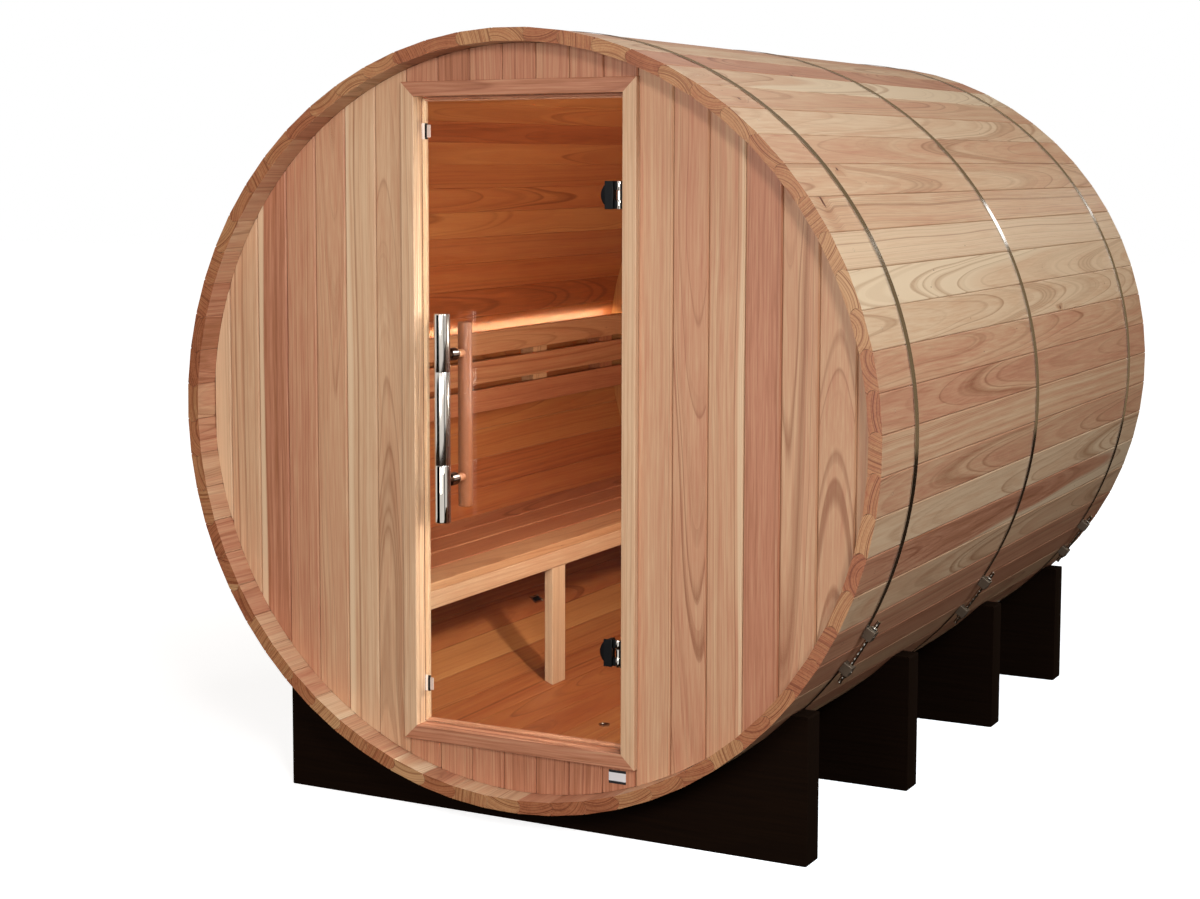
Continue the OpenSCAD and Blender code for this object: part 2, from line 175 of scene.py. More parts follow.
class FittingSettings(bpy.types.PropertyGroup):
    """Sizes and angles of the tensioners, screws and plugs"""

    clamp_1: bpy.props.FloatProperty(
        name="Front tensioner", description="Angle below the barrel's side",
        default=math.radians(31.8), unit="ROTATION", subtype="ANGLE")
    clamp_2: bpy.props.FloatProperty(
        name="Middle tensioner", description="Angle below the barrel's side",
        default=math.radians(35.2), unit="ROTATION", subtype="ANGLE")
    clamp_3: bpy.props.FloatProperty(
        name="Back tensioner", description="Angle below the barrel's side",
        default=math.radians(34.4), unit="ROTATION", subtype="ANGLE")
    pitch: size("Lug distance", "Distance between a tensioner's two lugs", 0.1)
    rod: size("Rod", "Diameter of a tensioner rod", 0.01)
    rod_length: size("Rod length", "Length of a tensioner rod", 0.176)
    lug: size("Lug", "Length of a lug along its hoop", 0.026)
    lug_height: size("Lug height", "Height of a lug above the barrel", 0.024)
    screw: size("Screw", "Diameter of a screw head", 0.008)
    nut: size("Nut", "Width of a tensioner's nut over its corners", 0.0165)
    washer: size("Washer", "Diameter of a tensioner's washer", 0.019)
    thread: size("Thread pitch", "Pitch of a rod's thread, as coarse as it needs to show", 0.002)
    plug: size("Floor plug", "Diameter of the plug in the floor", 0.03)


class BenchSettings(bpy.types.PropertyGroup):
    """Sizes of the bench and the backrest"""

    slats: bpy.props.IntProperty(name="Bench slats", description="Number of bench slats", default=4, min=1)
    slat_gap: size("Slat gap", "Gap between two bench slats", 0.006)
    rest_slats: bpy.props.IntProperty(
        name="Backrest slats", description="Number of backrest slats", default=3, min=1)
    rest_gap: size("Backrest gap", "Gap between two backrest slats", 0.018)
    ease: size("Edge", "Rounded edge of the seat and the backrest", 0.003)
    rail: size("Rail thickness", "Thickness of a bench rail or post", 0.025)
    post: size("Post width", "Width of a bench post along the barrel", 0.075)
    cleat: size("Cleat width", "Width of a backrest cleat along the barrel", 0.09)
    middle_cleat: size("Middle cleat", "Place of the middle cleat along the barrel", 0.543)


class FinishSettings(bpy.types.PropertyGroup):
    """Colours of the woods, metals, films and glass"""

    russet: shade("Russet", "Darkest heartwood", "#9a6040")
    rose: shade("Rose", "Pinkish heartwood", "#b5785a")
    tan: shade("Tan", "Plain heartwood", "#bf8a68")
    honey: shade("Honey", "Pale heartwood", "#c79a76")
    cream: shade("Cream", "Palest heartwood", "#d3ad89")
    sapwood: shade("Sapwood", "Wood from just under the bark", "#dcbb97")
    knot: shade("Knot", "Heart of a knot", "#5a2c17")
    latewood: shade("Latewood", "How the dark line of a ring tints the wood", "#b3937c")
    halo: shade("Knot ring", "How the wood round a knot is tinted", "#cba286")
    end_grain: shade("End grain", "How a sawn end is tinted: it drinks more finish", "#dec8af")
    # Painted shade: this tint darkens and reddens the wood inside the room, where little light falls.
    room_shade_tint: shade("Room shade", "Painted shade: how the wood inside the room is drawn darker and redder, for the dim light there", "#daaf81")
    stain: shade("Black stain", "Stain on the cradles", "#100703")
    steel: shade("Stainless steel", "Hoops and tensioners", "#c3bdb4")
    chrome: shade("Chrome", "Handle and hinge pins", "#ccc4bb")
    black: shade("Black powder coat", "Hinge clamps and catches", "#0d0d0e")
    cast: shade("Cast steel", "Lugs of the tensioners", "#6c5e50")
    # Painted shade: a darker, browner copy of the chrome.
    shaded_chrome: shade("Shaded chrome", "Sleeves and washers of the handle", "#8c7466")
    enamel: shade("Enamel", "Pale halves of the catches", "#e0c4b8")
    white_film: shade("White film", "Middle of the blank label", "#dcdcde")
    black_film: shade("Black film", "Bands of the blank label", "#16181c")
    channel: shade("Channel", "Channel of the light", "#d9d5cf")
    glass: shade("Glass", "Tint of the toughened glass", "#fafdfb")
    diffuser: shade("Diffuser", "Frosted cover of the light", "#e7e5dd")
    glow: shade("Glow", "Light behind the backrest", "#fff2c4")


class StageSettings(bpy.types.PropertyGroup):
    """The camera and the lights"""

    eye: bpy.props.FloatVectorProperty(
        name="Camera", description="Where the camera stands", default=(2.4523, -5.5381, 1.575), size=3,
        unit="LENGTH", subtype="TRANSLATION")
    aim: bpy.props.FloatVectorProperty(
        name="Aim", description="Turn to the left, tilt down and roll of the camera",
        default=(math.radians(29.3462), math.radians(5.776), math.radians(-0.1338)), size=3,
        unit="ROTATION", subtype="EULER")
    lens: bpy.props.FloatProperty(name="Lens", description="Focal length in mm", default=65.26, min=1)
    shift: bpy.props.FloatVectorProperty(
        name="Shift", description="Shift of the lens, in widths of the view", default=(0.0791, -0.052), size=2)
    key: power("Key light", "Power of the light at the right", 365)
    corner: power("Corner light", "Power of the light at the corner", 125)
    front: power("Front light", "Power of the light in front", 180)
    back: power("Back light", "Power of the light behind", 42)
    inside: power("Sauna light", "Power of the lamp inside", 11)
    ceiling: power("Ceiling light", "Power of the soft light inside", 9)
    room: power("Room light", "Strength of the light all round", 0.12)
    daylight: shade("Key colour", "Colour of the light at the right", "#ddf1ff")
    indoors: shade("Sauna light colour", "Colour of the lamp inside", "#fffaf6")
    warm: shade("Ceiling light colour", "Colour of the soft light inside", "#ffe0bc")
    round_about: shade("Room colour", "Colour of the light all round", "#ffe7ce")


# ------------------------------------------------------------- hand tools


def only(piece):
    """Selects one piece and nothing else."""
    bpy.ops.object.select_all(action="DESELECT")
    piece.select_set(True)
    bpy.context.view_layer.objects.active = piece


def settle(name):
    """Names the piece just added, and puts its place and size into its mesh."""
    piece = bpy.context.active_object
    piece.name = name
    piece.data.name = name
    bpy.ops.object.transform_apply(location=True, rotation=True, scale=True)
    return piece


def block(name, low, high):
    """A plain bar from one corner to the opposite one."""
    bpy.ops.object.select_all(action="DESELECT")
    low, high = Vector(low), Vector(high)
    bpy.ops.mesh.primitive_cube_add(size=1, location=(low + high) / 2)
    bpy.context.active_object.scale = high - low
    return settle(name)


def rod(name, centre, axis, diameter, length, sides=32):
    """A round bar about its centre, lying along one axis."""
    bpy.ops.object.select_all(action="DESELECT")
    bpy.ops.mesh.primitive_cylinder_add(
        vertices=sides, radius=diameter / 2, depth=length, location=centre, rotation=LIE[axis])
    return settle(name)


def work(piece, kind, pick, operator, **settings):
    """Selects the points, edges or faces of a piece by their place, and runs one mesh operator on them."""
    only(piece)
    bpy.ops.object.mode_set(mode="EDIT")
    bpy.ops.mesh.select_mode(type=kind)
    bpy.ops.mesh.select_all(action="DESELECT")
    mesh = bmesh.from_edit_mesh(piece.data)
    for part in {"VERT": mesh.verts, "EDGE": mesh.edges, "FACE": mesh.faces}[kind]:
        if pick(part):
            part.select_set(True)
    mesh.select_flush_mode()
    bmesh.update_edit_mesh(piece.data)
    operator(**settings)
    bpy.ops.object.mode_set(mode="OBJECT")


def bevel(piece, pick, width, segments=2):
    """Rounds the edges that pick chooses."""
    work(piece, "EDGE", pick, bpy.ops.mesh.bevel, offset=width, segments=segments, affect="EDGES")


def near(a, b):
    """True if two lengths are the same to a hundredth of a millimetre."""
    return abs(a - b) < MM / 100


def runs(edge, axis):
    """True if an edge lies along an axis."""
    a, b = (v.co for v in edge.verts)
    return abs((b - a).normalized()[AXES[axis]]) > 0.99


def rim(edge, axis, places):
    """True if an edge lies all at one of these places along an axis."""
    i = AXES[axis]
    return any(all(near(v.co[i], p) for v in edge.verts) for p in places)


def ease(piece, axis, width, segments=2):
    """Rounds the edges of a bar that lie along an axis."""
    bevel(piece, lambda e: runs(e, axis), width, segments)


def ease_ends(piece, axis, width, segments=2):
    """Rounds the rims of both ends of a bar or a rod."""
    ends = [f(v.co[AXES[axis]] for v in piece.data.vertices) for f in (min, max)]
    bevel(piece, lambda e: rim(e, axis, ends), width, segments)


def ringed(name, centre, axis, diameter, length, rings, waist, sides=40):
    """A round bar with rounded rings along it, as on a thread or a ribbed sleeve."""
    bar = rod(name, centre, axis, diameter, length, sides)
    work(bar, "EDGE", lambda e: runs(e, axis), bpy.ops.mesh.subdivide, number_cuts=2 * rings - 1)
    i = AXES[axis]
    start = centre[i] - length / 2
    narrow = tuple(1 if k == i else waist for k in range(3))
    work(bar, "VERT", lambda v: round((v.co[i] - start) / length * 2 * rings) % 2 == 1,
         bpy.ops.transform.resize, value=narrow)
    return bar


def finish_with(piece, kind, **settings):
    """Adds one modifier to a piece and applies it."""
    only(piece)
    modifier = piece.modifiers.new(kind.title(), kind)
    for key, value in settings.items():
        setattr(modifier, key, value)
    bpy.ops.object.modifier_apply(modifier=modifier.name)


def carry(piece, move):
    """Moves a piece by a matrix, and puts the move into its mesh."""
    piece.matrix_world = move
    only(piece)
    bpy.ops.object.transform_apply(location=True, rotation=True, scale=True)


def twin(piece, move=Matrix.Identity(4)):
    """A copy of a piece with its own mesh, moved by a matrix."""
    only(piece)
    bpy.ops.object.duplicate(linked=False)
    copy = bpy.context.active_object
    carry(copy, move)
    return copy


def drop(*pieces):
    """Deletes the pieces that were only used to make others."""
    for piece in pieces:
        bpy.data.objects.remove(piece)


def join(name, pieces):
    """Joins pieces into one object."""
    bpy.ops.object.select_all(action="DESELECT")
    for piece in pieces:
        piece.select_set(True)
    bpy.context.view_layer.objects.active = pieces[0]
    if len(pieces) > 1:
        bpy.ops.object.join()
    whole = bpy.context.active_object
    whole.name = name
    whole.data.name = name
    return whole


def fix(piece, body, slot, material, *nodes, angle=35):
    """Gives a finished piece its material and its body, and hides the nodes that it stands for. The slot is not
    used.
    """
    if not piece.data.materials:
        piece.data.materials.append(material)
    only(piece)
    bpy.ops.object.shade_smooth_by_angle(angle=math.radians(angle))
    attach(piece, body)
    if nodes:
        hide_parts(*nodes)
    return piece


def turned(angle, settings, y=0.0):
    """The move that turns a piece about the barrel's axis, anticlockwise seen from the front."""
    centre = Vector((0, y, settings.lift + settings.radius))
    return Matrix.Translation(centre) @ Matrix.Rotation(-angle, 4, "Y")


def cut_from_log(piece, along, across, dice, tone, flat=0.4, sap=0.2, edge=None):
    """Gives a board its own place in a log, so that its rings run along it and show on its ends.

    With edge, sapwood begins that far to one side of the board's middle.
    """
    mesh = piece.data
    points = np.empty(len(mesh.vertices) * 3, np.float32)
    mesh.vertices.foreach_get("co", points)
    points = points.reshape(-1, 3)
    points = points - (points.min(0) + points.max(0)) / 2
    through = ({0, 1, 2} - {AXES[along], AXES[across]}).pop()
    u, v, w = points[:, AXES[along]], points[:, AXES[across]], points[:, through]
    side = dice.choice((-1, 1))
    if dice.random() < flat:
        pith = (dice.uniform(-0.03, 0.03), side * dice.uniform(0.06, 0.16))
        tilt = (dice.gauss(0, 0.004), dice.choice((-1, 1)) * dice.uniform(0.012, 0.035))
    else:
        pith = (side * dice.uniform(0.11, 0.3), dice.uniform(-0.09, 0.09))
        tilt = (dice.gauss(0, 0.003), dice.gauss(0, 0.005))
    distance = math.hypot(*pith)
    bark = distance + dice.uniform(-0.03, 0.03) if dice.random() < sap else 9.0
    if edge is not None:
        pith, tilt = (math.copysign(0.2, edge), 0.02), (dice.uniform(0.002, 0.006), 0.003)
        bark = 0.2 + abs(edge)
    log = np.stack([u + dice.uniform(-20, 20), v + pith[0] + tilt[0] * u, w + pith[1] + tilt[1] * u], 1)
    place = mesh.attributes.new("grain", "FLOAT_VECTOR", "POINT")
    place.data.foreach_set("vector", log.astype(np.float32).ravel())
    board = mesh.attributes.new("board", "FLOAT_VECTOR", "POINT")
    board.data.foreach_set("vector", np.tile(np.float32((tone, bark, dice.random())), len(points)))
    ends = mesh.attributes.new("end_grain", "FLOAT", "FACE")
    ends.data.foreach_set("value", [float(abs(f.normal[AXES[along]]) > 0.7) for f in mesh.polygons])
    return piece


# -------------------------------------------------------------- materials


def add(tree, kind, inputs=(), **settings):
    """Adds one shader node with its settings, and sets or links its inputs."""
    node = tree.nodes.new("ShaderNode" + kind)
    for key, value in settings.items():
        setattr(node, key, value)
    for socket, value in dict(inputs).items():
        if isinstance(value, bpy.types.NodeSocket):
            tree.links.new(value, node.inputs[socket])
        else:
            node.inputs[socket].default_value = value
    return node


def blank(name):
    """A new material with an empty node tree."""
    material = bpy.data.materials.new(name)
    material.use_nodes = True
    material.node_tree.nodes.clear()
    return material, material.node_tree


def colour_steps(ramp, steps):
    """Sets a colour ramp's stops from pairs of place and colour."""
    elements = ramp.color_ramp.elements
    while len(elements) < len(steps):
        elements.new(0.5)
    for element, (place, colour) in zip(elements, steps):
        element.position = place
        element.color = (*colour, 1)


def cedar(name, finish, shine=0.46, figure=1.0, knots=0.04, room_shade=0.0):
    """Planed red cedar: pink to honey heartwood with fine dark rings, pale sapwood and a few small knots.

    The attribute grain holds a point's place in its log: along the pith, then two ways from it. Room shade
    is how far the wood inside the sauna is drawn a deep red brown: painted shade for the dim light there.
    """
    ring_width = 6.2 * MM
    material, tree = blank(name)
    place = add(tree, "Attribute", attribute_name="grain").outputs["Vector"]
    board = add(tree, "SeparateXYZ", {
        0: add(tree, "Attribute", attribute_name="board").outputs["Vector"]})
    end = add(tree, "Attribute", attribute_name="end_grain").outputs["Fac"]
    # The trunk wanders by about a centimetre over half a metre of its length.
    slow = add(tree, "VectorMath", {0: place, 1: (1.1, 3, 3)}, operation="MULTIPLY")
    wander = add(tree, "TexNoise", {"Vector": slow.outputs[0], "Scale": 1.0, "Detail": 1.5})
    bend = add(tree, "VectorMath", {
        0: wander.outputs["Color"], 1: (0, 0.03, 0.03), 2: (0, -0.015, -0.015)},
        operation="MULTIPLY_ADD")
    bent = add(tree, "VectorMath", {0: place, 1: bend.outputs[0]}, operation="ADD")
    xyz = add(tree, "SeparateXYZ", {0: bent.outputs[0]})
    flat = add(tree, "CombineXYZ", {1: xyz.outputs[1], 2: xyz.outputs[2]})
    radius = add(tree, "VectorMath", {0: flat.outputs[0]}, operation="LENGTH").outputs["Value"]
    angle = add(tree, "Math", {0: xyz.outputs[2], 1: xyz.outputs[1]}, operation="ARCTAN2")
    # Branches leave the pith about every half metre: each is one cell of a pattern wrapped round the log.
    wrapped = add(tree, "CombineXYZ", {0: xyz.outputs[0], 1: angle.outputs[0]})
    cells = add(tree, "VectorMath", {0: wrapped.outputs[0], 1: (1.9, 2.1, 0)}, operation="MULTIPLY")
    branch = add(tree, "TexVoronoi", {"Vector": cells.outputs[0], "Scale": 1.0},
                 voronoi_dimensions="2D")
    away = add(tree, "VectorMath", {0: branch.outputs["Position"], 1: cells.outputs[0]},
               operation="SUBTRACT")
    away_xyz = add(tree, "SeparateXYZ", {0: away.outputs[0]})
    round_log = add(tree, "Math", {0: away_xyz.outputs[1], 1: radius}, operation="MULTIPLY")
    offset = add(tree, "CombineXYZ", {0: away_xyz.outputs[0], 1: round_log.outputs[0]})
    offset = add(tree, "VectorMath", {0: offset.outputs[0], 1: (0.42, 0.48, 0)},
                 operation="MULTIPLY")
    to_branch = add(tree, "VectorMath", {0: offset.outputs[0]}, operation="LENGTH")
    chance = add(tree, "SeparateColor", {0: branch.outputs["Color"]})
    kept = add(tree, "Math", {0: chance.outputs[0], 1: 1 - knots}, operation="GREATER_THAN")
    halo = add(tree, "MapRange", {"Value": to_branch.outputs["Value"], 1: 0.045, 2: 0.006, 3: 0, 4: 1},
               interpolation_type="SMOOTHSTEP")
    halo = add(tree, "Math", {0: halo.outputs[0], 1: kept.outputs[0]}, operation="MULTIPLY")
    core = add(tree, "MapRange", {"Value": to_branch.outputs["Value"], 1: 0.0055, 2: 0.003, 3: 0, 4: 1},
               interpolation_type="SMOOTHSTEP")
    core = add(tree, "Math", {0: core.outputs[0], 1: kept.outputs[0]}, operation="MULTIPLY")
    radius = add(tree, "Math", {0: halo.outputs[0], 1: -0.012, 2: radius},
                 operation="MULTIPLY_ADD").outputs[0]
    # Wet and dry years: groups of rings 8 to 40 mm wide that differ in colour.
    years = add(tree, "TexNoise", {"W": radius, "Scale": 75.0, "Detail": 3.0, "Roughness": 0.6},
                noise_dimensions="1D").outputs[0]
    uneven = add(tree, "Math", {0: years, 1: 3.5}, operation="MULTIPLY")
    rings = add(tree, "Math", {0: radius, 1: 1 / ring_width, 2: uneven.outputs[0]},
                operation="MULTIPLY_ADD")
    phase = add(tree, "Math", {0: rings.outputs[0]}, operation="FRACT")
    profile = add(tree, "ValToRGB", {0: phase.outputs[0]})
    growth = ((0.0, 0.4), (0.08, 0), (0.62, 0.07), (0.9, 1), (1, 0.4))
    colour_steps(profile, [(place_in_year, (dark,) * 3) for place_in_year, dark in growth])
    # One year in four or so leaves a much darker line than the others.
    year = add(tree, "Math", {0: rings.outputs[0]}, operation="FLOOR")
    year = add(tree, "Math", {0: board.outputs[2], 1: 61.0, 2: year.outputs[0]}, operation="MULTIPLY_ADD")
    bold = add(tree, "TexWhiteNoise", {"W": year.outputs[0]}, noise_dimensions="1D")
    bold = add(tree, "MapRange", {"Value": bold.outputs["Value"], 1: 0.35, 2: 1.0, 3: 0.2, 4: 1.05})
    bold = add(tree, "Math", {0: bold.outputs[0], 1: end}, operation="MAXIMUM")
    late = add(tree, "Math", {0: profile.outputs[0], 1: bold.outputs[0]}, operation="MULTIPLY")
    # Fibres: streaks under a millimetre wide and a hand long.
    drawn = add(tree, "VectorMath", {0: bent.outputs[0], 1: (6, 210, 210)}, operation="MULTIPLY")
    fibre = add(tree, "TexNoise", {
        "Vector": drawn.outputs[0], "Scale": 1.0, "Detail": 3.0, "Roughness": 0.65}).outputs[0]
    patch = add(tree, "VectorMath", {0: bent.outputs[0], 1: (1.3, 26, 26)}, operation="MULTIPLY")
    patch = add(tree, "TexNoise", {"Vector": patch.outputs[0], "Scale": 1.0, "Detail": 2.0}).outputs[0]
    tint = add(tree, "Math", {0: years, 1: 0.62 * figure, 2: board.outputs[0]},
               operation="MULTIPLY_ADD")
    tint = add(tree, "Math", {0: patch, 1: 0.5 * figure, 2: tint.outputs[0]},
               operation="MULTIPLY_ADD")
    tint = add(tree, "Math", {0: fibre, 1: 0.9, 2: tint.outputs[0]}, operation="MULTIPLY_ADD")
    tint = add(tree, "Math", {0: tint.outputs[0], 1: 0.45 + 0.56 * figure},
               operation="SUBTRACT")
    heart = add(tree, "ValToRGB", {0: tint.outputs[0]})
    colour_steps(heart, [(0.0, finish.russet), (0.28, finish.rose), (0.5, finish.tan), (0.72, finish.honey),
                         (1.0, finish.cream)])
    sap = add(tree, "Math", {0: radius, 1: board.outputs[1]}, operation="SUBTRACT")
    sap = add(tree, "MapRange", {"Value": sap.outputs[0], 1: 0.0, 2: 0.004, 3: 0, 4: 0.85})
    wood = add(tree, "Mix", {0: sap.outputs[0], 6: heart.outputs[0], 7: (*finish.sapwood, 1)},
               data_type="RGBA")
    depth = add(tree, "Math", {0: end, 1: 0.25, 2: 0.75}, operation="MULTIPLY_ADD")
    latewood = add(tree, "Math", {0: late.outputs[0], 1: depth.outputs[0]}, operation="MULTIPLY")
    wood = add(tree, "Mix", {0: latewood.outputs[0], 6: wood.outputs[2], 7: (*finish.latewood, 1)},
               data_type="RGBA", blend_type="MULTIPLY")
    # Pin knots and resin specks, a few millimetres long.
    pins = add(tree, "VectorMath", {0: place, 1: (17, 40, 40)}, operation="MULTIPLY")
    pins = add(tree, "TexVoronoi", {"Vector": pins.outputs[0], "Scale": 1.0})
    speck = add(tree, "MapRange", {"Value": pins.outputs["Distance"], 1: 0.075, 2: 0.045, 3: 0, 4: 0.75})
    chance = add(tree, "SeparateColor", {0: pins.outputs["Color"]})
    chance = add(tree, "Math", {0: chance.outputs[0], 1: 1 - 4 * knots}, operation="GREATER_THAN")
    speck = add(tree, "Math", {0: speck.outputs[0], 1: chance.outputs[0]}, operation="MULTIPLY")
    wood = add(tree, "Mix", {0: speck.outputs[0], 6: wood.outputs[2], 7: (*finish.knot, 1)},
               data_type="RGBA")
    ring_knot = add(tree, "Math", {0: halo.outputs[0], 1: 0.35}, operation="MULTIPLY")
    wood = add(tree, "Mix", {0: ring_knot.outputs[0], 6: wood.outputs[2], 7: (*finish.halo, 1)},
               data_type="RGBA", blend_type="MULTIPLY")
    wood = add(tree, "Mix", {0: core.outputs[0], 6: wood.outputs[2], 7: (*finish.knot, 1)},
               data_type="RGBA")
    # Sawn ends drink more finish, so they are darker and browner.
    wood = add(tree, "Mix", {0: end, 6: wood.outputs[2], 7: (*finish.end_grain, 1)},
               data_type="RGBA", blend_type="MULTIPLY")
    # Painted shade: inside the room the wood is drawn darker and redder, for the dim light there.
    if room_shade:
        mask = add(tree, "Math", {0: inside_sauna(tree), 1: room_shade}, operation="MULTIPLY")
        wood = add(tree, "Mix", {0: mask.outputs[0], 6: wood.outputs[2], 7: (*finish.room_shade_tint, 1)},
                   data_type="RGBA", blend_type="MULTIPLY")
    rough = add(tree, "MapRange", {"Value": fibre, 3: shine - 0.07, 4: shine + 0.1})
    height = add(tree, "Math", {0: late.outputs[0], 1: 0.4, 2: fibre}, operation="MULTIPLY_ADD")
    bump = add(tree, "Bump", {"Height": height.outputs[0], "Strength": 0.35, "Distance": 0.0004})
    surface = add(tree, "BsdfPrincipled", {
        "Base Color": wood.outputs[2], "Roughness": rough.outputs[0], "Normal": bump.outputs[0], "IOR": 1.5,
        "Specular IOR Level": 0.4})
    add(tree, "OutputMaterial", {0: surface.outputs[0]})
    return material


def inside_sauna(tree):
    """1 on the faces that shut in the sauna's room, and 0 on all others, by their place in the barrel."""
    place = add(tree, "SeparateXYZ", {0: add(tree, "TexCoord").outputs["Object"]})
    height = add(tree, "Math", {0: place.outputs[2], 1: ROOM_AXIS}, operation="SUBTRACT")
    across = add(tree, "CombineXYZ", {0: place.outputs[0], 2: height.outputs[0]})
    radius = add(tree, "VectorMath", {0: across.outputs[0]}, operation="LENGTH")
    within = add(tree, "Math", {0: radius.outputs["Value"], 1: ROOM_RADIUS}, operation="LESS_THAN")
    along = add(tree, "Math", {0: place.outputs[1], 1: ROOM_MIDDLE}, operation="SUBTRACT")
    along = add(tree, "Math", {0: along.outputs[0]}, operation="ABSOLUTE")
    between = add(tree, "Math", {0: along.outputs[0], 1: ROOM_REACH}, operation="LESS_THAN")
    both = add(tree, "Math", {0: within.outputs[0], 1: between.outputs[0]}, operation="MULTIPLY")
    return both.outputs[0]


def stained(name, finish):
    """Spruce brushed with black stain: nearly black, with the grain just showing in the sheen."""
    material, tree = blank(name)
    place = add(tree, "Attribute", attribute_name="grain").outputs["Vector"]
    drawn = add(tree, "VectorMath", {0: place, 1: (3, 140, 140)}, operation="MULTIPLY")
    fibre = add(tree, "TexNoise", {"Vector": drawn.outputs[0], "Scale": 1.0, "Detail": 4.0}).outputs[0]
    tone = add(tree, "Mix", {0: fibre, 6: (*(0.55 * c for c in finish.stain), 1),
                                       7: (*(1.9 * c for c in finish.stain), 1)}, data_type="RGBA")
    rough = add(tree, "MapRange", {"Value": fibre, 3: 0.6, 4: 0.85})
    bump = add(tree, "Bump", {"Height": fibre, "Strength": 0.5, "Distance": 0.0006})
    surface = add(tree, "BsdfPrincipled", {
        "Base Color": tone.outputs[2], "Roughness": rough.outputs[0], "Normal": bump.outputs[0],
        "Specular IOR Level": 0.03})
    add(tree, "OutputMaterial", {0: surface.outputs[0]})
    return material


def metal(name, colour, roughness, marks=0.0, scale=(1, 1, 1)):
    """Bare or plated metal: a plain colour, with fine marks in its polish drawn out along one way."""
    material, tree = blank(name)
    place = add(tree, "TexCoord").outputs["Object"]
    drawn = add(tree, "VectorMath", {0: place, 1: scale}, operation="MULTIPLY")
    noise = add(tree, "TexNoise", {"Vector": drawn.outputs[0], "Scale": 1.0, "Detail": 3.0}).outputs[0]
    rough = add(tree, "MapRange", {"Value": noise, 3: max(0.02, roughness - marks), 4: roughness + marks})
    bump = add(tree, "Bump", {"Height": noise, "Strength": min(1.0, marks * 3), "Distance": 0.0001})
    surface = add(tree, "BsdfPrincipled", {
        "Base Color": (*colour, 1), "Metallic": 1.0, "Roughness": rough.outputs[0],
        "Normal": bump.outputs[0]})
    add(tree, "OutputMaterial", {0: surface.outputs[0]})
    return material


def coated(name, colour, roughness, grain=1.4, shine=0.5):
    """Paint, powder coat or moulded plastic: an even colour, with an orange peel of lumps given in mm."""
    material, tree = blank(name)
    place = add(tree, "TexCoord").outputs["Object"]
    lumps = add(tree, "TexNoise", {"Vector": place, "Scale": 1 / (grain * MM), "Detail": 2.0}).outputs[0]
    rough = add(tree, "MapRange", {"Value": lumps, 3: roughness - 0.05, 4: roughness + 0.05})
    bump = add(tree, "Bump", {"Height": lumps, "Strength": 0.2, "Distance": 0.0001})
    surface = add(tree, "BsdfPrincipled", {
        "Base Color": (*colour, 1), "Roughness": rough.outputs[0], "Normal": bump.outputs[0],
        "Specular IOR Level": shine})
    add(tree, "OutputMaterial", {0: surface.outputs[0]})
    return material


def toughened(name, finish):
    """Clear toughened glass with a faint green cast. Lamps pass straight through, as through a flat pane."""
    material, tree = blank(name)
    rays = add(tree, "LightPath")
    glass = add(tree, "BsdfPrincipled", {
        "Base Color": (*finish.glass, 1), "Roughness": 0.0, "IOR": 1.5, "Transmission Weight": 1.0})
    clear = add(tree, "BsdfTransparent", {0: (*finish.glass, 1)})
    mixed = add(tree, "MixShader", {
        0: rays.outputs["Is Shadow Ray"], 1: glass.outputs[0], 2: clear.outputs[0]})
    add(tree, "OutputMaterial", {0: mixed.outputs[0]})
    return material


def glowing(name, finish, strength):
    """Frosted diffuser over warm light-emitting diodes."""
    material, tree = blank(name)
    surface = add(tree, "BsdfPrincipled", {
        "Base Color": (*finish.diffuser, 1), "Roughness": 0.5, "Emission Color": (*finish.glow, 1),
        "Emission Strength": strength})
    add(tree, "OutputMaterial", {0: surface.outputs[0]})
    return material


def finishes(settings):
    """All materials of the sauna, by a short name."""
    if "stave cedar" in bpy.data.materials:
        return bpy.data.materials
    # Cedar straight from the planer keeps a low sheen, and sanding dulls it a little and rubs out the figure.
    # The staves and wall boards fully, and the bench less, take the room's painted shade inside the sauna; the
    # trim does not.
    cedar("stave cedar", settings, shine=0.42, room_shade=1.0)
    cedar("clear cedar boards", settings, figure=0.7, knots=0.0, room_shade=1.0)
    cedar("sanded cedar trim", settings, shine=0.42, figure=0.6, knots=0.0)
    cedar("sanded cedar bench", settings, shine=0.44, figure=0.9, knots=0.2, room_shade=0.6)
    stained("black stained spruce", settings)
    # Rolled and polished along its length: a bright line where it mirrors a lamp, dark beside it.
    metal("polished stainless band", settings.steel, 0.14, 0.04, (40, 900, 40))
    # Bright plating on turned steel: small hard glints.
    metal("zinc plated steel", settings.steel, 0.16, 0.05, (300, 300, 300))
    # Sand cast and left as it came: a grey skin that hardly mirrors.
    metal("dull cast steel", settings.cast, 0.55, 0.08, (120, 120, 120))
    # Baked enamel over a die casting: even and soft.
    coated("pale enamelled zinc", settings.enamel, 0.4)
    # Chrome over a buffed tube mirrors the room, and a darker, browner copy of it is painted shade on the
    # sleeves. Brushed, it spreads the lamps.
    metal("polished chrome plate", settings.chrome, 0.04, 0.01, (60, 60, 60))
    metal("dark chrome plate", settings.shaded_chrome, 0.1, 0.03, (60, 60, 60))
    metal("satin chrome plate", settings.chrome, 0.17, 0.04, (900, 900, 20))
    # Powder melts to a slight orange peel, and nylon comes out of its mould duller.
    coated("black powder coat", settings.black, 0.4, shine=0.15)
    coated("black moulded nylon", settings.black, 0.5, shine=0.15)
    # Printed film lies nearly flat, under a faint gloss.
    coated("white label film", settings.white_film, 0.35, 3.0)
    coated("black label film", settings.black_film, 0.35, 3.0)
    coated("white aluminium channel", settings.channel, 0.3, 3.0)
    toughened("clear toughened glass", settings)
    glowing("warm diffuser", settings, 420.0)
    return bpy.data.materials


# ---------------------------------------------------------------- the barrel


def axis_height(barrel):
    """Height of the barrel's axis above the ground."""
    return barrel.lift + barrel.radius


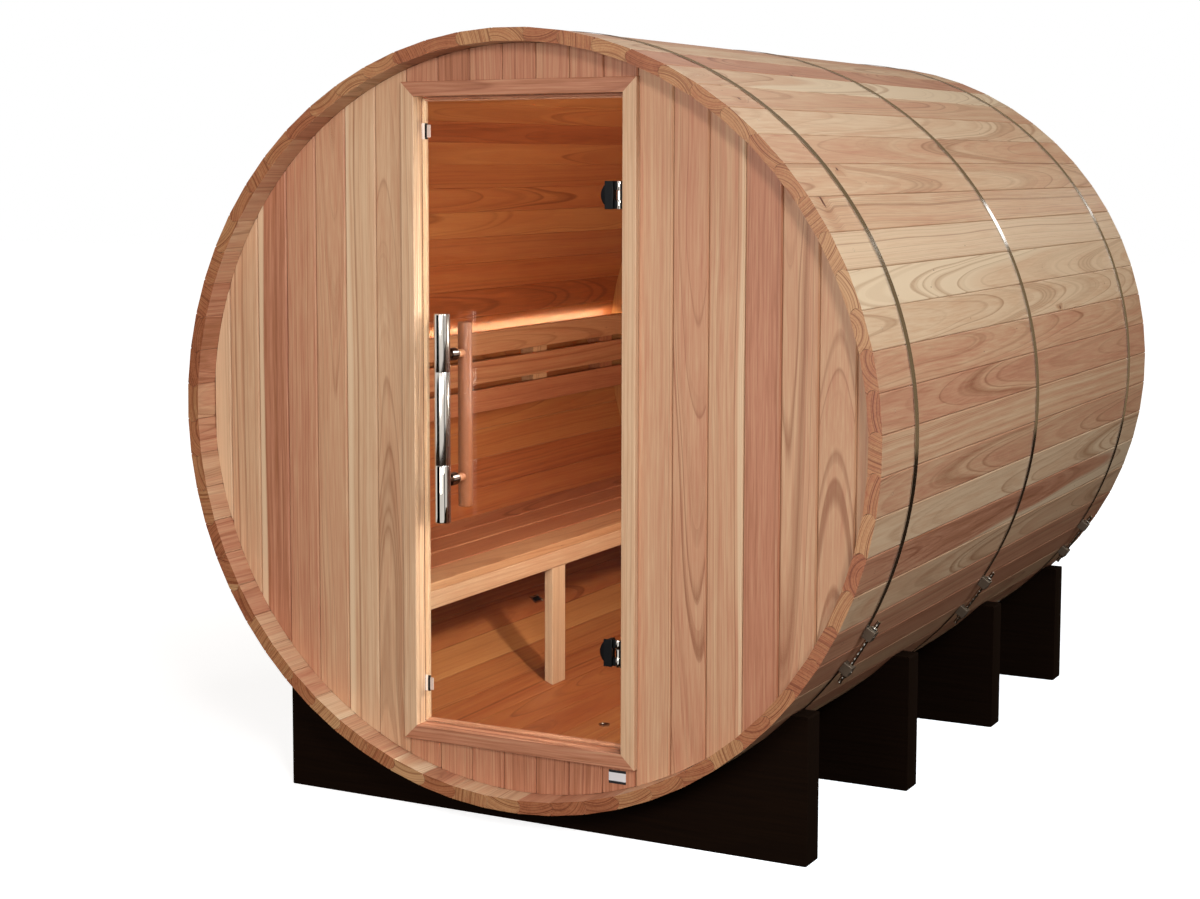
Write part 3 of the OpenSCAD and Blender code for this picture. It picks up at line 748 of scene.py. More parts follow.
def inner_radius(barrel):
    """Radius of the round end walls, just inside the staves."""
    return barrel.radius * math.cos(math.pi / barrel.staves) - barrel.thickness - barrel.fit


def bore_tool(barrel):
    """A long cylinder as wide as the inside of the barrel, which cuts boards to the round."""
    return rod("bore", (0, 0, axis_height(barrel)), "y", 2 * inner_radius(barrel), 4, sides=256)


def nose(share, chord, rise):
    """Height of a rounded edge over its flat side, at a share of the stave's thickness."""
    x = abs(share - 0.5) * chord / BEAD_SHARE
    radius = (chord * chord / 4 + rise * rise) / (2 * rise)
    return math.sqrt(radius * radius - x * x) - (radius - rise) if x < chord / 2 else 0.0


def model_stave(barrel):
    """One stave at the barrel's right-hand side: round bead above, hollow cove below, eased corners."""
    low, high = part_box("staves_top")
    half = math.pi / barrel.staves
    outer = barrel.radius * math.cos(half)
    inner = outer - barrel.thickness
    wide = barrel.radius * math.sin(half) - barrel.seam / 2
    narrow = inner * math.tan(half) - barrel.seam / 2
    stave = block("stave", (inner, low.y, -wide), (outer, high.y, wide))
    work(stave, "VERT", lambda v: near(v.co.x, inner), bpy.ops.transform.resize, value=(1, 1, narrow / wide))
    cuts = 11
    for side in (1, -1):
        work(stave, "EDGE", lambda e: runs(e, "x") and all(v.co.z * side > 0 for v in e.verts),
             bpy.ops.mesh.subdivide, number_cuts=cuts)
        for k in range(1, cuts + 1):
            share = k / (cuts + 1)
            rise = nose(share, barrel.thickness * BEAD_SHARE, barrel.bead)
            if rise:
                x = inner + share * barrel.thickness
                work(stave, "VERT", lambda v: near(v.co.x, x) and v.co.z * side > 0,
                     bpy.ops.transform.translate, value=(0, 0, rise))
    for x, width in ((outer, barrel.ease), (inner, barrel.inner_ease)):
        bevel(stave, lambda e: runs(e, "y") and rim(e, "x", [x]), width)
    return stave


class SAUNA_OT_staves(bpy.types.Operator):
    """Model one stave with a bead and a cove, and lay it round the barrel in eight sectors"""

    bl_idname = "sauna.staves"
    bl_label = "Staves"

    def execute(self, context):
        barrel = context.scene.sauna_barrel
        wood = finishes(context.scene.sauna_finish)["stave cedar"]
        dice = random.Random(64)
        pattern = model_stave(barrel)
        step = 2 * math.pi / barrel.staves
        count = barrel.staves // len(SECTORS)
        for name, middle in SECTORS.items():
            first = round((math.radians(middle) - barrel.turn) / step - count / 2)
            row = []
            for k in range(first, first + count):
                stave = twin(pattern)
                side = (k + barrel.staves // 2) % barrel.staves - barrel.staves // 2
                tone = STAVE_TONES.get(side, dice.uniform(0.2, 0.9))
                cut_from_log(stave, "y", "z", dice, tone, flat=0.6, sap=0.1 if side < HEARTWOOD_FROM else 0)
                carry(stave, turned(barrel.turn + (k + 0.5) * step, barrel))
                row.append(stave)
            sector = join(name.replace("staves", "cedar_staves"), row)
            fix(sector, "sauna", "stave_cedar", wood, name, angle=12)
        drop(pattern)
        return {"FINISHED"}


def seams(low, high, walls):
    """Where boards laid out from the barrel's middle meet, between two places."""
    most = math.ceil(max(-low, high) / walls.board)
    inside = [(k + 0.5) * walls.board for k in range(-most, most)]
    return [low, *(x for x in inside if low + walls.least < x < high - walls.least), high]


def board_wall(name, x_span, z_span, y_span, scene, dice, bore):
    """Upright boards side by side, cut to the round of the barrel."""
    walls = scene.sauna_walls
    places = seams(*x_span, walls)
    boards = []
    for a, b in zip(places, places[1:]):
        board = block(name, (a + walls.seam / 2, y_span[0], z_span[0]),
                      (b - walls.seam / 2, y_span[1], z_span[1]))
        ease(board, "z", walls.ease, 1)
        finish_with(board, "BOOLEAN", operation="INTERSECT", object=bore, solver="EXACT")
        place = round((a + b) / 2 / walls.board)
        tone = WALL_TONES.get(place, dice.uniform(0.15, 0.4))
        boards.append(cut_from_log(board, "z", "x", dice, tone, flat=0.3, sap=0.0, edge=SAPWOOD.get(place)))
    return join("boards_" + name, boards)


class SAUNA_OT_walls(bpy.types.Operator):
    """Set upright boards into both ends of the barrel, round the doorway in front"""

    bl_idname = "sauna.walls"
    bl_label = "End walls"

    def execute(self, context):
        scene = context.scene
        barrel = scene.sauna_barrel
        wood = finishes(scene.sauna_finish)["clear cedar boards"]
        dice = random.Random(11)
        bore = bore_tool(barrel)
        top = axis_height(barrel) + barrel.radius
        # The round cuts the boards off, but for those over and under the doorway, which end at its frame.
        for name, over, under in (
            ("front_wall_left", False, False),
            ("front_wall_right", False, False),
            ("front_wall_top", True, False),
            ("front_wall_bottom", False, True),
            ("back_wall", False, False),
        ):
            low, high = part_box(name)
            z_span = (low.z if over else 0, high.z if under else top)
            wall = board_wall(name, (low.x, high.x), z_span, (low.y, high.y), scene, dice, bore)
            fix(wall, "sauna", "wall_cedar", wood, name, angle=12)
        drop(bore)
        return {"FINISHED"}


# ----------------------------------------------------------------- the door


def mitred_frame(name, door, inset, outset, y_span, dice, edge):
    """Four bars round the doorway with mitred corners, from inset to outset outside its clear edges."""
    half = door.clear_width / 2
    sill, head = door.sill, door.sill + door.clear_height
    x_in, x_out = half + inset, half + outset
    reach = outset - inset
    bars = []
    for upright, z_out in ((False, sill - outset), (False, head + outset), (True, -x_out), (True, x_out)):
        if upright:
            low = (min(z_out, z_out - math.copysign(reach, z_out)), y_span[0], sill - outset)
            high = (max(z_out, z_out - math.copysign(reach, z_out)), y_span[1], head + outset)
        else:
            inner = sill - inset if z_out < (sill + head) / 2 else head + inset
            low = (-x_out, y_span[0], min(z_out, inner))
            high = (x_out, y_span[1], max(z_out, inner))
        bar = block(name, low, high)
        if upright:
            edge_x = math.copysign(x_in, z_out)
            for z, move in ((low[2], reach), (high[2], -reach)):
                work(bar, "VERT", lambda v: near(v.co.x, edge_x) and near(v.co.z, z),
                     bpy.ops.transform.translate, value=(0, 0, move))
            along, across = "z", "x"
        else:
            for x, move in ((-x_out, reach), (x_out, -reach)):
                work(bar, "VERT", lambda v: near(v.co.z, inner) and near(v.co.x, x),
                     bpy.ops.transform.translate, value=(move, 0, 0))
            along, across = "x", "z"
        tone = 0.9 if upright else 0.25
        cut = cut_from_log(bar, along, across, dice, tone, flat=0.15, sap=0.0)
        ease(cut, along, edge)
        bars.append(cut)
    return join(name, bars)


class SAUNA_OT_surround(bpy.types.Operator):
    """Line the doorway with its frame, the mitred casing and the door stop"""

    bl_idname = "sauna.surround"
    bl_label = "Door surround"

    def execute(self, context):
        scene = context.scene
        door = scene.sauna_door
        wood = finishes(scene.sauna_finish)["sanded cedar trim"]
        dice = random.Random(7)
        rings = (
            ("jambs", "door_frame", 0, door.jamb, 0.0006),
            ("casing", "door_casing", 0, door.casing, door.ease),
            ("stops", "door_stop", -door.stop, 0, door.ease),
        )
        for name, node, inset, outset, edge in rings:
            low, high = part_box(node)
            ring = mitred_frame(name, door, inset, outset, (low.y, high.y), dice, edge)
            fix(ring, "sauna", "trim_cedar", wood, node, angle=12)
        return {"FINISHED"}


class SAUNA_OT_glass(bpy.types.Operator):
    """Make the frameless pane of the door, with its edges ground and polished"""

    bl_idname = "sauna.glass"
    bl_label = "Glass pane"

    def execute(self, context):
        low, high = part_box("door_glass")
        pane = block("glass_pane", low, high)
        bevel(pane, lambda e: True, context.scene.sauna_door.arris, 1)
        look = finishes(context.scene.sauna_finish)["clear toughened glass"]
        fix(pane, "door", "glass", look, "door_glass", angle=20)
        return {"FINISHED"}


class SAUNA_OT_handle(bpy.types.Operator):
    """Turn the chrome bar outside, the cedar bar inside and the stand-offs between them"""

    bl_idname = "sauna.handle"
    bl_label = "Door handle"

    def execute(self, context):
        scene = context.scene
        looks = finishes(scene.sauna_finish)
        low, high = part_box("door_handle")
        grip_low, grip_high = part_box("door_grip")
        pane_low, pane_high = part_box("door_glass")
        width = high.x - low.x
        x, z = (low.x + high.x) / 2, (low.z + high.z) / 2
        bar_y = low.y + width / 2
        door = scene.sauna_door
        middle = door.grip_middle / 2
        bar = rod("chrome_bar", (x, bar_y, z), "z", width, high.z - low.z, sides=64)
        ease_ends(bar, "z", 0.003, 4)
        for place in (z - middle, z + middle):
            work(bar, "FACE", lambda f: True, bpy.ops.mesh.bisect,
                 plane_co=(x, bar_y, place), plane_no=(0, 0, 1))
            bevel(bar, lambda e: rim(e, "z", [place]), 0.0005)
            work(bar, "VERT", lambda v: near(v.co.z, place),
                 bpy.ops.transform.resize, value=(0.985, 0.985, 1))
        bar.data.materials.append(looks["polished chrome plate"])
        bar.data.materials.append(looks["satin chrome plate"])
        for face in bar.data.polygons:
            face.material_index = int(face.center.z > z - middle)
        parts = [bar]
        dowels = []
        washer, sunk = 0.003, 0.006
        for side in (-1, 1):
            height = z + side * door.grip_pitch / 2
            y0 = bar_y + width * 0.4
            post = rod("post", (x, (y0 + pane_low.y) / 2, height), "y", door.post, pane_low.y - y0)
            sleeves = [
                ringed("sleeve", (x, pane_low.y - 0.0145, height), "y", door.sleeve, 0.027, 4, 0.86),
                ringed("washer", (x, pane_high.y + washer / 2, height), "y", door.washer, washer, 1, 0.96),
            ]
            # Posts, sleeves and washers take the darker copy of the chrome: painted shade.
            for part in (post, *sleeves):
                part.data.materials.append(looks["dark chrome plate"])
            parts += [post, *sleeves]
            y0, y1 = pane_high.y + washer, grip_low.y + sunk
            dowels.append(rod("dowel", (x, (y0 + y1) / 2, height), "y", door.dowel, y1 - y0))
        fix(join("bar_handle", parts), "door", "chrome", None, "door_handle")
        dice = random.Random(5)
        grip_centre = (grip_low + grip_high) / 2
        grip = rod("grip", grip_centre, "z", grip_high.x - grip_low.x, grip_high.z - grip_low.z, sides=48)
        ease_ends(grip, "z", 0.0025, 3)
        # The inner bar is drawn darker than the darkest heartwood and takes the bench's cedar with the room's
        # painted shade: painted shade for the dim light inside.
        cut_from_log(grip, "z", "x", dice, -0.1, flat=1, sap=0)
        for dowel in dowels:
            cut_from_log(dowel, "y", "x", dice, 0.4, flat=1, sap=0)
        inner = join("wooden_grip", [grip, *dowels])
        fix(inner, "door", "trim_cedar", looks["sanded cedar bench"], "door_grip")
        return {"FINISHED"}


class SAUNA_OT_hinges(bpy.types.Operator):
    """Make both glass hinges: round black clamps on the pane, a chrome pin and a plate on the jamb"""

    bl_idname = "sauna.hinges"
    bl_label = "Hinges"

    def execute(self, context):
        looks = finishes(context.scene.sauna_finish)
        sizes = context.scene.sauna_hinges
        for level in ("upper", "lower"):
            self.door_half(sizes, looks, level)
            self.frame_half(sizes, looks, level)
        return {"FINISHED"}

    def pin(self, sizes, level):
        """The middle of a hinge's pin."""
        low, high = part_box("hinge_door_" + level)
        pane_low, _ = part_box("door_glass")
        return Vector((high.x - sizes.knuckle / 2, pane_low.y - sizes.pin_out, (low.z + high.z) / 2))

    def knuckle(self, sizes, centre, third):
        """One of the three knuckles on a pin."""
        knuckle = rod("knuckle", centre, "z", sizes.knuckle, third - sizes.joint_gap, sides=40)
        ease_ends(knuckle, "z", 0.0008)
        return knuckle

    def door_half(self, sizes, looks, level):
        """Two D-shaped plates with a raised cover, and the knuckles above and below the middle."""
        low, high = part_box("hinge_door_" + level)
        pane_low, pane_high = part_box("door_glass")
        z = (low.z + high.z) / 2
        reach = (high.z - low.z) / 2
        short = 0.0005  # so much less than a half circle
        flat_x = low.x + reach - short
        parts = []
        for y0, y1 in ((pane_low.y - sizes.clamp, pane_low.y), (pane_high.y, high.y)):
            plate = rod("clamp", (flat_x + short, (y0 + y1) / 2, z), "y", 2 * reach, y1 - y0, sides=64)
            work(plate, "FACE", lambda f: True, bpy.ops.mesh.bisect,
                 plane_co=(flat_x, 0, 0), plane_no=(1, 0, 0), clear_outer=True, use_fill=True)
            ease_ends(plate, "y", 0.0015, 3)
            parts.append(plate)
        end, back = flat_x + sizes.overhang, low.y + sizes.cover_height
        cover = block("cover", (end - sizes.cover, low.y, z - reach), (end, back, z + reach))
        bevel(cover, lambda e: not rim(e, "y", [back]), 0.0009)
        parts.append(cover)
        pin = self.pin(sizes, level)
        third = (high.z - low.z) / 3
        lap, front, thick, half = 0.004, 0.0025, 0.002, third * 0.46
        for side in (-1, 1):
            arm_z = z + side * third
            arm = block("arm", (flat_x - lap, pin.y + front, arm_z - half),
                        (pin.x, pin.y + front + thick, arm_z + half))
            ease(arm, "z", 0.0006, 1)
            parts.append(arm)
        clamp = join("hinge_clamp_" + level, parts)
        fix(clamp, "door", "black_metal", looks["black powder coat"], "hinge_door_" + level, angle=20)
        knuckles = [self.knuckle(sizes, pin + Vector((0, 0, side * third)), third) for side in (-1, 1)]
        fix(join("hinge_knuckles_" + level, knuckles), "door", "chrome", looks["polished chrome plate"])

    def frame_half(self, sizes, looks, level):
        """Middle knuckle with its flanges, the pin's ends, and the black plate on the jamb."""
        low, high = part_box("hinge_frame_" + level)
        z = (low.z + high.z) / 2
        pin = self.pin(sizes, level)
        third = (high.z - low.z) / 3
        parts = [self.knuckle(sizes, pin, third)]
        half_cap = 0.0012
        for side in (-1, 1):
            rim_z, end_z = side * (third / 2 - half_cap), side * (1.5 * third - half_cap)
            flange = rod("flange", pin + Vector((0, 0, rim_z)), "z", sizes.flange, 0.0014)
            ease_ends(flange, "z", 0.0003, 1)
            cap = rod("cap", pin + Vector((0, 0, end_z)), "z", sizes.pin, 2 * half_cap)
            ease_ends(cap, "z", 0.0008)
            parts += [flange, cap]
        for part in parts:
            part.data.materials.append(looks["polished chrome plate"])
        thick, corner = 0.003, 0.003
        plate = block("leaf", (high.x - thick, low.y, low.z), high)
        ease(plate, "x", corner, 3)
        lap, half_arm, half = 0.001, 0.003, third * 0.42
        arm = block("arm", (pin.x, pin.y - half_arm, z - half), (high.x - lap, pin.y + half_arm, z + half))
        ease(arm, "x", 0.0008, 1)
        for part in (plate, arm):
            part.data.materials.append(looks["black powder coat"])
        whole = join("hinge_pin_" + level, [*parts, plate, arm])
        fix(whole, "sauna", "chrome", None, "hinge_frame_" + level, angle=20)


class SAUNA_OT_catches(bpy.types.Operator):
    """Make the two catches on the door stop and their strike plates on the pane"""

    bl_idname = "sauna.catches"
    bl_label = "Catches"

    def execute(self, context):
        looks = finishes(context.scene.sauna_finish)
        door = context.scene.sauna_door
        zinc, nylon = looks["pale enamelled zinc"], looks["black moulded nylon"]
        for node, name, body, slot, height, split, left, right in (
            ("door_catches", "catch_bodies", "sauna", "black_metal", door.catch, 0.62, zinc, nylon),
            ("door_strikes", "strike_plates", "door", "chrome", door.strike, 0.4, nylon, zinc),
        ):
            low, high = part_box(node)
            middle = low.x + (high.x - low.x) * split
            parts = []
            for z in (low.z, high.z - height):
                for x0, x1, look in ((low.x, middle, left), (middle, high.x, right)):
                    part = block("plate", (x0, low.y, z), (x1, high.y, z + height))
                    bevel(part, lambda e: True, 0.0005, 1)
                    part.data.materials.append(look)
                    parts.append(part)
            fix(join(name, parts), body, slot, None, node, angle=20)
        return {"FINISHED"}


# -------------------------------------------------------- hoops and cradles


class SAUNA_OT_hoops(bpy.types.Operator):
    """Draw three steel bands round the staves, each tightened by a threaded rod through two lugs"""

    bl_idname = "sauna.hoops"
    bl_label = "Hoops"

    def execute(self, context):
        scene = context.scene
        barrel = scene.sauna_barrel
        fittings = scene.sauna_fittings
        looks = finishes(scene.sauna_finish)
        clamps = zip(("front", "middle", "back"), (fittings.clamp_1, fittings.clamp_2, fittings.clamp_3))
        for name, angle in clamps:
            low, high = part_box("hoop_" + name)
            y = (low.y + high.y) / 2
            parts = [self.band(barrel, fittings, high.y - low.y, looks)]
            parts += self.tensioner(barrel, fittings, high.y - low.y, looks)
            hoop = join("steel_hoop_" + name, parts)
            carry(hoop, turned(-angle, barrel, y))
            fix(hoop, "sauna", "hoop_steel", None, "hoop_" + name, angle=20)
        return {"FINISHED"}

    def band(self, barrel, fittings, width, looks):
        """The band itself, open between the lugs, about an axis through the origin."""
        radius = barrel.radius + barrel.fit + barrel.hoop
        half = math.asin(fittings.pitch / 2 / radius)
        bpy.ops.object.select_all(action="DESELECT")
        bpy.ops.mesh.primitive_cylinder_add(
            vertices=360, radius=radius, depth=width, end_fill_type="NOTHING", rotation=LIE["y"])
        band = settle("band")
        work(band, "FACE", lambda f: Vector((1, 0)).angle(f.calc_center_median().xz) < half,
             bpy.ops.mesh.delete, type="FACE")
        finish_with(band, "SOLIDIFY", thickness=barrel.hoop, offset=-1)
        band.data.materials.append(looks["polished stainless band"])
        return band

    def tensioner(self, barrel, fittings, width, looks):
        """Two square lugs with a cross screw each, the threaded rod through them and its nuts."""
        clear = 0.0002
        foot = barrel.radius + barrel.fit + clear
        top = barrel.radius + fittings.lug_height
        axis = top - fittings.rod
        washer, nut = 0.0012, 0.007  # their thicknesses
        parts = []
        for side in (-1, 1):
            z = side * fittings.pitch / 2
            lug = block("lug", (foot, -width / 2, z - fittings.lug / 2),
                        (top, width / 2, z + fittings.lug / 2))
            bevel(lug, lambda e: not rim(e, "x", [foot]), 0.0012)
            lug.data.materials.append(looks["dull cast steel"])
            screw = rod("screw", (top - clear, 0, z), "x", 0.009, 0.0012, sides=6)
            face = z + side * fittings.lug / 2
            hexagon = rod("nut", (axis, 0, face + side * (0.0001 + nut / 2)), "z", fittings.nut, nut, sides=6)
            ease_ends(hexagon, "z", 0.0008)
            disc = rod("washer", (axis, 0, face + side * washer / 2), "z", fittings.washer, washer)
            parts += [lug, screw, hexagon, disc]
        turns = round(fittings.rod_length / fittings.thread)
        parts.append(ringed("thread", (axis, 0, 0), "z", fittings.rod, fittings.rod_length, turns, 0.93, 16))
        for part in parts:
            if not part.data.materials:
                part.data.materials.append(looks["zinc plated steel"])
        return parts


class SAUNA_OT_cradles(bpy.types.Operator):
    """Shape the four black boards that the barrel lies in"""

    bl_idname = "sauna.cradles"
    bl_label = "Cradles"

    def execute(self, context):
        scene = context.scene
        barrel = scene.sauna_barrel
        stain = finishes(scene.sauna_finish)["black stained spruce"]
        dice = random.Random(4)
        around = 2 * (barrel.radius + barrel.fit)
        hollow = rod("hollow", (0, 0, axis_height(barrel)), "y", around, 4, sides=256)
        for k in range(1, 5):
            low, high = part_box(f"cradle_{k}")
            board = block("cradle", low, high)
            ease(board, "y", 0.004)
            ease(board, "z", 0.003)
            finish_with(board, "BOOLEAN", operation="DIFFERENCE", object=hollow, solver="EXACT")
            cut_from_log(board, "x", "z", dice, 0.5)
            fix(board, "sauna", "black_stain", stain, f"cradle_{k}", angle=12)
            board.name = f"black_cradle_{k}"
        drop(hollow)
        return {"FINISHED"}


# --------------------------------------------------------------- the inside


class SAUNA_OT_bench(bpy.types.Operator):
    """Build the bench: long slats over rails, on two posts"""

    bl_idname = "sauna.bench"
    bl_label = "Bench"

    def execute(self, context):
        scene = context.scene
        bench = scene.sauna_bench
        looks = finishes(scene.sauna_finish)
        seat, trim = looks["sanded cedar bench"], looks["sanded cedar trim"]
        dice = random.Random(31)
        bore = bore_tool(scene.sauna_barrel)
        low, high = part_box("bench_slats")
        wide = (high.x - low.x - (bench.slats - 1) * bench.slat_gap) / bench.slats
        slats = []
        for k in range(bench.slats):
            x = low.x + k * (wide + bench.slat_gap)
            slat = block("slat", (x, low.y, low.z), (x + wide, high.y, high.z))
            ease(slat, "y", bench.ease, 3)
            # The front slat, lit through the doorway, is drawn pale and the slats behind it darker: painted
            # light and shade.
            front = k == bench.slats - 1
            tone = 0.95 if front else dice.gauss(0.35, 0.08)
            slats.append(cut_from_log(slat, "y", "x", dice, tone, flat=1.0 if front else 0.3, sap=0.0))
        fix(join("seat_slats", slats), "sauna", "bench_cedar", seat, "bench_slats", angle=12)
        post_low, post_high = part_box("bench_posts")
        post = bench.post
        rail_low, rail_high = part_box("bench_rails")
        rail = block("rail", (rail_high.x - bench.rail, rail_low.y, rail_low.z), rail_high)
        ease(rail, "y", bench.ease * 0.7, 2)
        rails = [cut_from_log(rail, "y", "z", dice, 0.75, flat=0, sap=0)]
        end = rail_high.x - bench.rail - scene.sauna_barrel.fit
        half = post / 2
        for y in (rail_low.y + half, post_low.y + half, post_high.y - half, rail_high.y - half):
            cross = block("cross_rail", (rail_low.x - 0.1, y - bench.rail / 2, rail_low.z),
                          (end, y + bench.rail / 2, rail_high.z))
            ease(cross, "x", 0.0015)
            finish_with(cross, "BOOLEAN", operation="INTERSECT", object=bore, solver="EXACT")
            rails.append(cut_from_log(cross, "x", "z", dice, 0.5))
        fix(join("seat_rails", rails), "sauna", "trim_cedar", trim, "bench_rails", angle=12)
        posts = []
        for y in (post_low.y, post_high.y - post):
            leg = block("post", (post_low.x, y, post_low.z - 0.02), (post_high.x, y + post, post_high.z))
            ease(leg, "z", 0.002)
            finish_with(leg, "BOOLEAN", operation="INTERSECT", object=bore, solver="EXACT")
            # Posts are drawn in the palest cedar and, like the rails, are left out of the room's painted shade:
            # painted light where the doorway lights them.
            posts.append(cut_from_log(leg, "z", "y", dice, 1.0, flat=0.2, sap=0))
        fix(join("seat_posts", posts), "sauna", "trim_cedar", trim, "bench_posts", angle=12)
        drop(bore)
        return {"FINISHED"}


class SAUNA_OT_backrest(bpy.types.Operator):
    """Hang the backrest slats on their cleats, with the light channel behind the top slat"""

    bl_idname = "sauna.backrest"
    bl_label = "Backrest and light"

    def execute(self, context):
        scene = context.scene
        bench = scene.sauna_bench
        looks = finishes(scene.sauna_finish)
        seat = looks["sanded cedar bench"]
        dice = random.Random(17)
        low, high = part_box("backrest_slats")
        wide = (high.z - low.z - (bench.rest_slats - 1) * bench.rest_gap) / bench.rest_slats
        slats = []
        for k in range(bench.rest_slats):
            z = low.z + k * (wide + bench.rest_gap)
            slat = block("rest", (low.x, low.y, z), (high.x, high.y, z + wide))
            ease(slat, "y", bench.ease, 3)
            slats.append(cut_from_log(slat, "y", "z", dice, 0.35 + 0.2 * k, flat=0.8, sap=0))
        fix(join("rest_slats", slats), "sauna", "bench_cedar", seat, "backrest_slats", angle=12)
        bore = bore_tool(scene.sauna_barrel)
        cleat_low, cleat_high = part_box("backrest_cleats")
        cleats = []
        for y in (cleat_low.y, bench.middle_cleat - bench.cleat / 2, cleat_high.y - bench.cleat):
            cleat = block("cleat", (cleat_low.x - 0.05, y, cleat_low.z),
                          (cleat_high.x, y + bench.cleat, cleat_high.z))
            ease(cleat, "z", 0.0015)
            finish_with(cleat, "BOOLEAN", operation="INTERSECT", object=bore, solver="EXACT")
            cleats.append(cut_from_log(cleat, "z", "y", dice, 0.3))
        fix(join("rest_cleats", cleats), "sauna", "bench_cedar", seat, "backrest_cleats", angle=12)
        drop(bore)
        self.light(looks)
        return {"FINISHED"}

    def light(self, looks):
        """A channel that opens to the wall: its upper lip keeps the light below the next stave."""
        low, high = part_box("light_strip")
        wall, slot, end = 0.001, 0.004, 0.002
        thick, tall = 0.0012, 0.0025  # the diffuser
        back = high.x - wall
        parts = [
            block("back", (back, low.y, low.z), high),
            block("lower_lip", low, (back, high.y, low.z + wall)),
            block("upper_lip", (low.x + slot, low.y, high.z - wall), (back, high.y, high.z)),
        ]
        for part in parts:
            ease(part, "y", 0.0002, 1)
            part.data.materials.append(looks["white aluminium channel"])
        diodes = block("diffuser", (back - thick, low.y + end, low.z + wall),
                       (back, high.y - end, low.z + wall + tall))
        ease(diodes, "y", 0.0004)
        diodes.data.materials.append(looks["warm diffuser"])
        fix(join("light_channel", [*parts, diodes]), "sauna", "light", None, "light_strip")


# --------------------------------------------------------------- small fittings


class SAUNA_OT_fixings(bpy.types.Operator):
    """Drive the screws that hold the end walls, and fit the blank label, the floor plug and the vent plate"""

    bl_idname = "sauna.fixings"
    bl_label = "Screws and plates"

    def execute(self, context):
        scene = context.scene
        looks = finishes(scene.sauna_finish)
        self.screws(scene, looks)
        self.label(looks)
        self.floor_plug(scene, looks)
        self.vent(scene.sauna_barrel, looks)
        return {"FINISHED"}

    def screws(self, scene, looks):
        """A countersunk screw in every second stave, over each end wall."""
        barrel = scene.sauna_barrel
        step = 2 * math.pi / barrel.staves
        face = barrel.radius * math.cos(step / 2)
        # Each head stands a tenth of a millimetre proud of its stave, round a driver socket.
        head, proud, rim_wide, socket = 0.001, 0.0001, 0.0022, 0.0007
        middle = face + proud - head / 2
        pattern = rod("screw", (middle, 0, 0), "x", scene.sauna_fittings.screw, head, sides=16)
        work(pattern, "FACE", lambda f: f.normal.x > 0.9, bpy.ops.mesh.inset, thickness=rim_wide, depth=-socket)
        for wall, node in (("front", "front_wall_top"), ("back", "back_wall")):
            low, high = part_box(node)
            y = (low.y + high.y) / 2
            row = [twin(pattern, turned(barrel.turn + (k + 0.5) * step, barrel, y))
                   for k in range(0, barrel.staves, 2)]
            fix(join(f"wall_screws_{wall}", row), "sauna", "hoop_steel", looks["zinc plated steel"])
        drop(pattern)

    def label(self, looks):
        """A blank white plate with a black band above and below."""
        low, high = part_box("label_plate")
        band = (high.z - low.z) * 0.19
        parts = []
        for z0, z1, look in (
            (low.z, low.z + band, "black label film"),
            (low.z + band, high.z - band, "white label film"),
            (high.z - band, high.z, "black label film"),
        ):
            part = block("label", (low.x, low.y, z0), (high.x, high.y, z1))
            bevel(part, lambda e: rim(e, "y", [low.y]), 0.0002, 1)
            part.data.materials.append(looks[look])
            parts.append(part)
        fix(join("blank_label", parts), "sauna", "label", None, "label_plate")

    def floor_plug(self, scene, looks):
        """A small drain plug in the floor, a ring round a dished middle."""
        spot = Vector((-0.0937, -0.4739))
        barrel = scene.sauna_barrel
        floor = axis_height(barrel) - math.sqrt(inner_radius(barrel) ** 2 - spot.x ** 2)
        wide, thick, centre = scene.sauna_fittings.plug, 0.004, floor + 0.0008
        ring, slope, dish, least = 0.003, 0.001, 0.0015, 1e-4
        plug = rod("drain_plug", (spot.x, spot.y, centre), "z", wide, thick, sides=48)
        work(plug, "FACE", lambda f: f.normal.z > 0.9, bpy.ops.mesh.inset, thickness=ring, depth=0)
        work(plug, "FACE", lambda f: f.normal.z > 0.9 and f.calc_area() > least, bpy.ops.mesh.inset,
             thickness=slope, depth=-dish)
        fix(plug, "sauna", "hoop_steel", looks["zinc plated steel"])

    def vent(self, barrel, looks):
        """A small slotted plate low on the wall under the bench."""
        middle = Vector((-0.5725, 0.031, 0.305))
        angle = math.atan2(middle.z - axis_height(barrel), middle.x)
        face = inner_radius(barrel)
        half_long, half_tall = 0.025, 0.013
        border, slope, depth, least = 0.006, 0.0006, 0.001, 2e-4
        plate = block("vent_plate", (face - 0.0012, -half_long, -half_tall),
                      (face + 0.0008, half_long, half_tall))
        work(plate, "FACE", lambda f: f.normal.x < -0.9, bpy.ops.mesh.inset, thickness=border, depth=0)
        work(plate, "FACE", lambda f: f.normal.x < -0.9 and f.calc_area() > least, bpy.ops.mesh.inset,
             thickness=slope, depth=-depth)
        plate.data.materials.append(looks["zinc plated steel"])
        plate.data.materials.append(looks["black moulded nylon"])
        for side in plate.data.polygons:
            slot = abs(side.center.y) < 0.012 and abs(side.center.z) < 0.006 and side.normal.x < -0.9
            side.material_index = int(slot)
        carry(plate, turned(angle, barrel, middle.y))
        fix(plate, "sauna", "hoop_steel", None)


# -------------------------------------------------------------------- stage


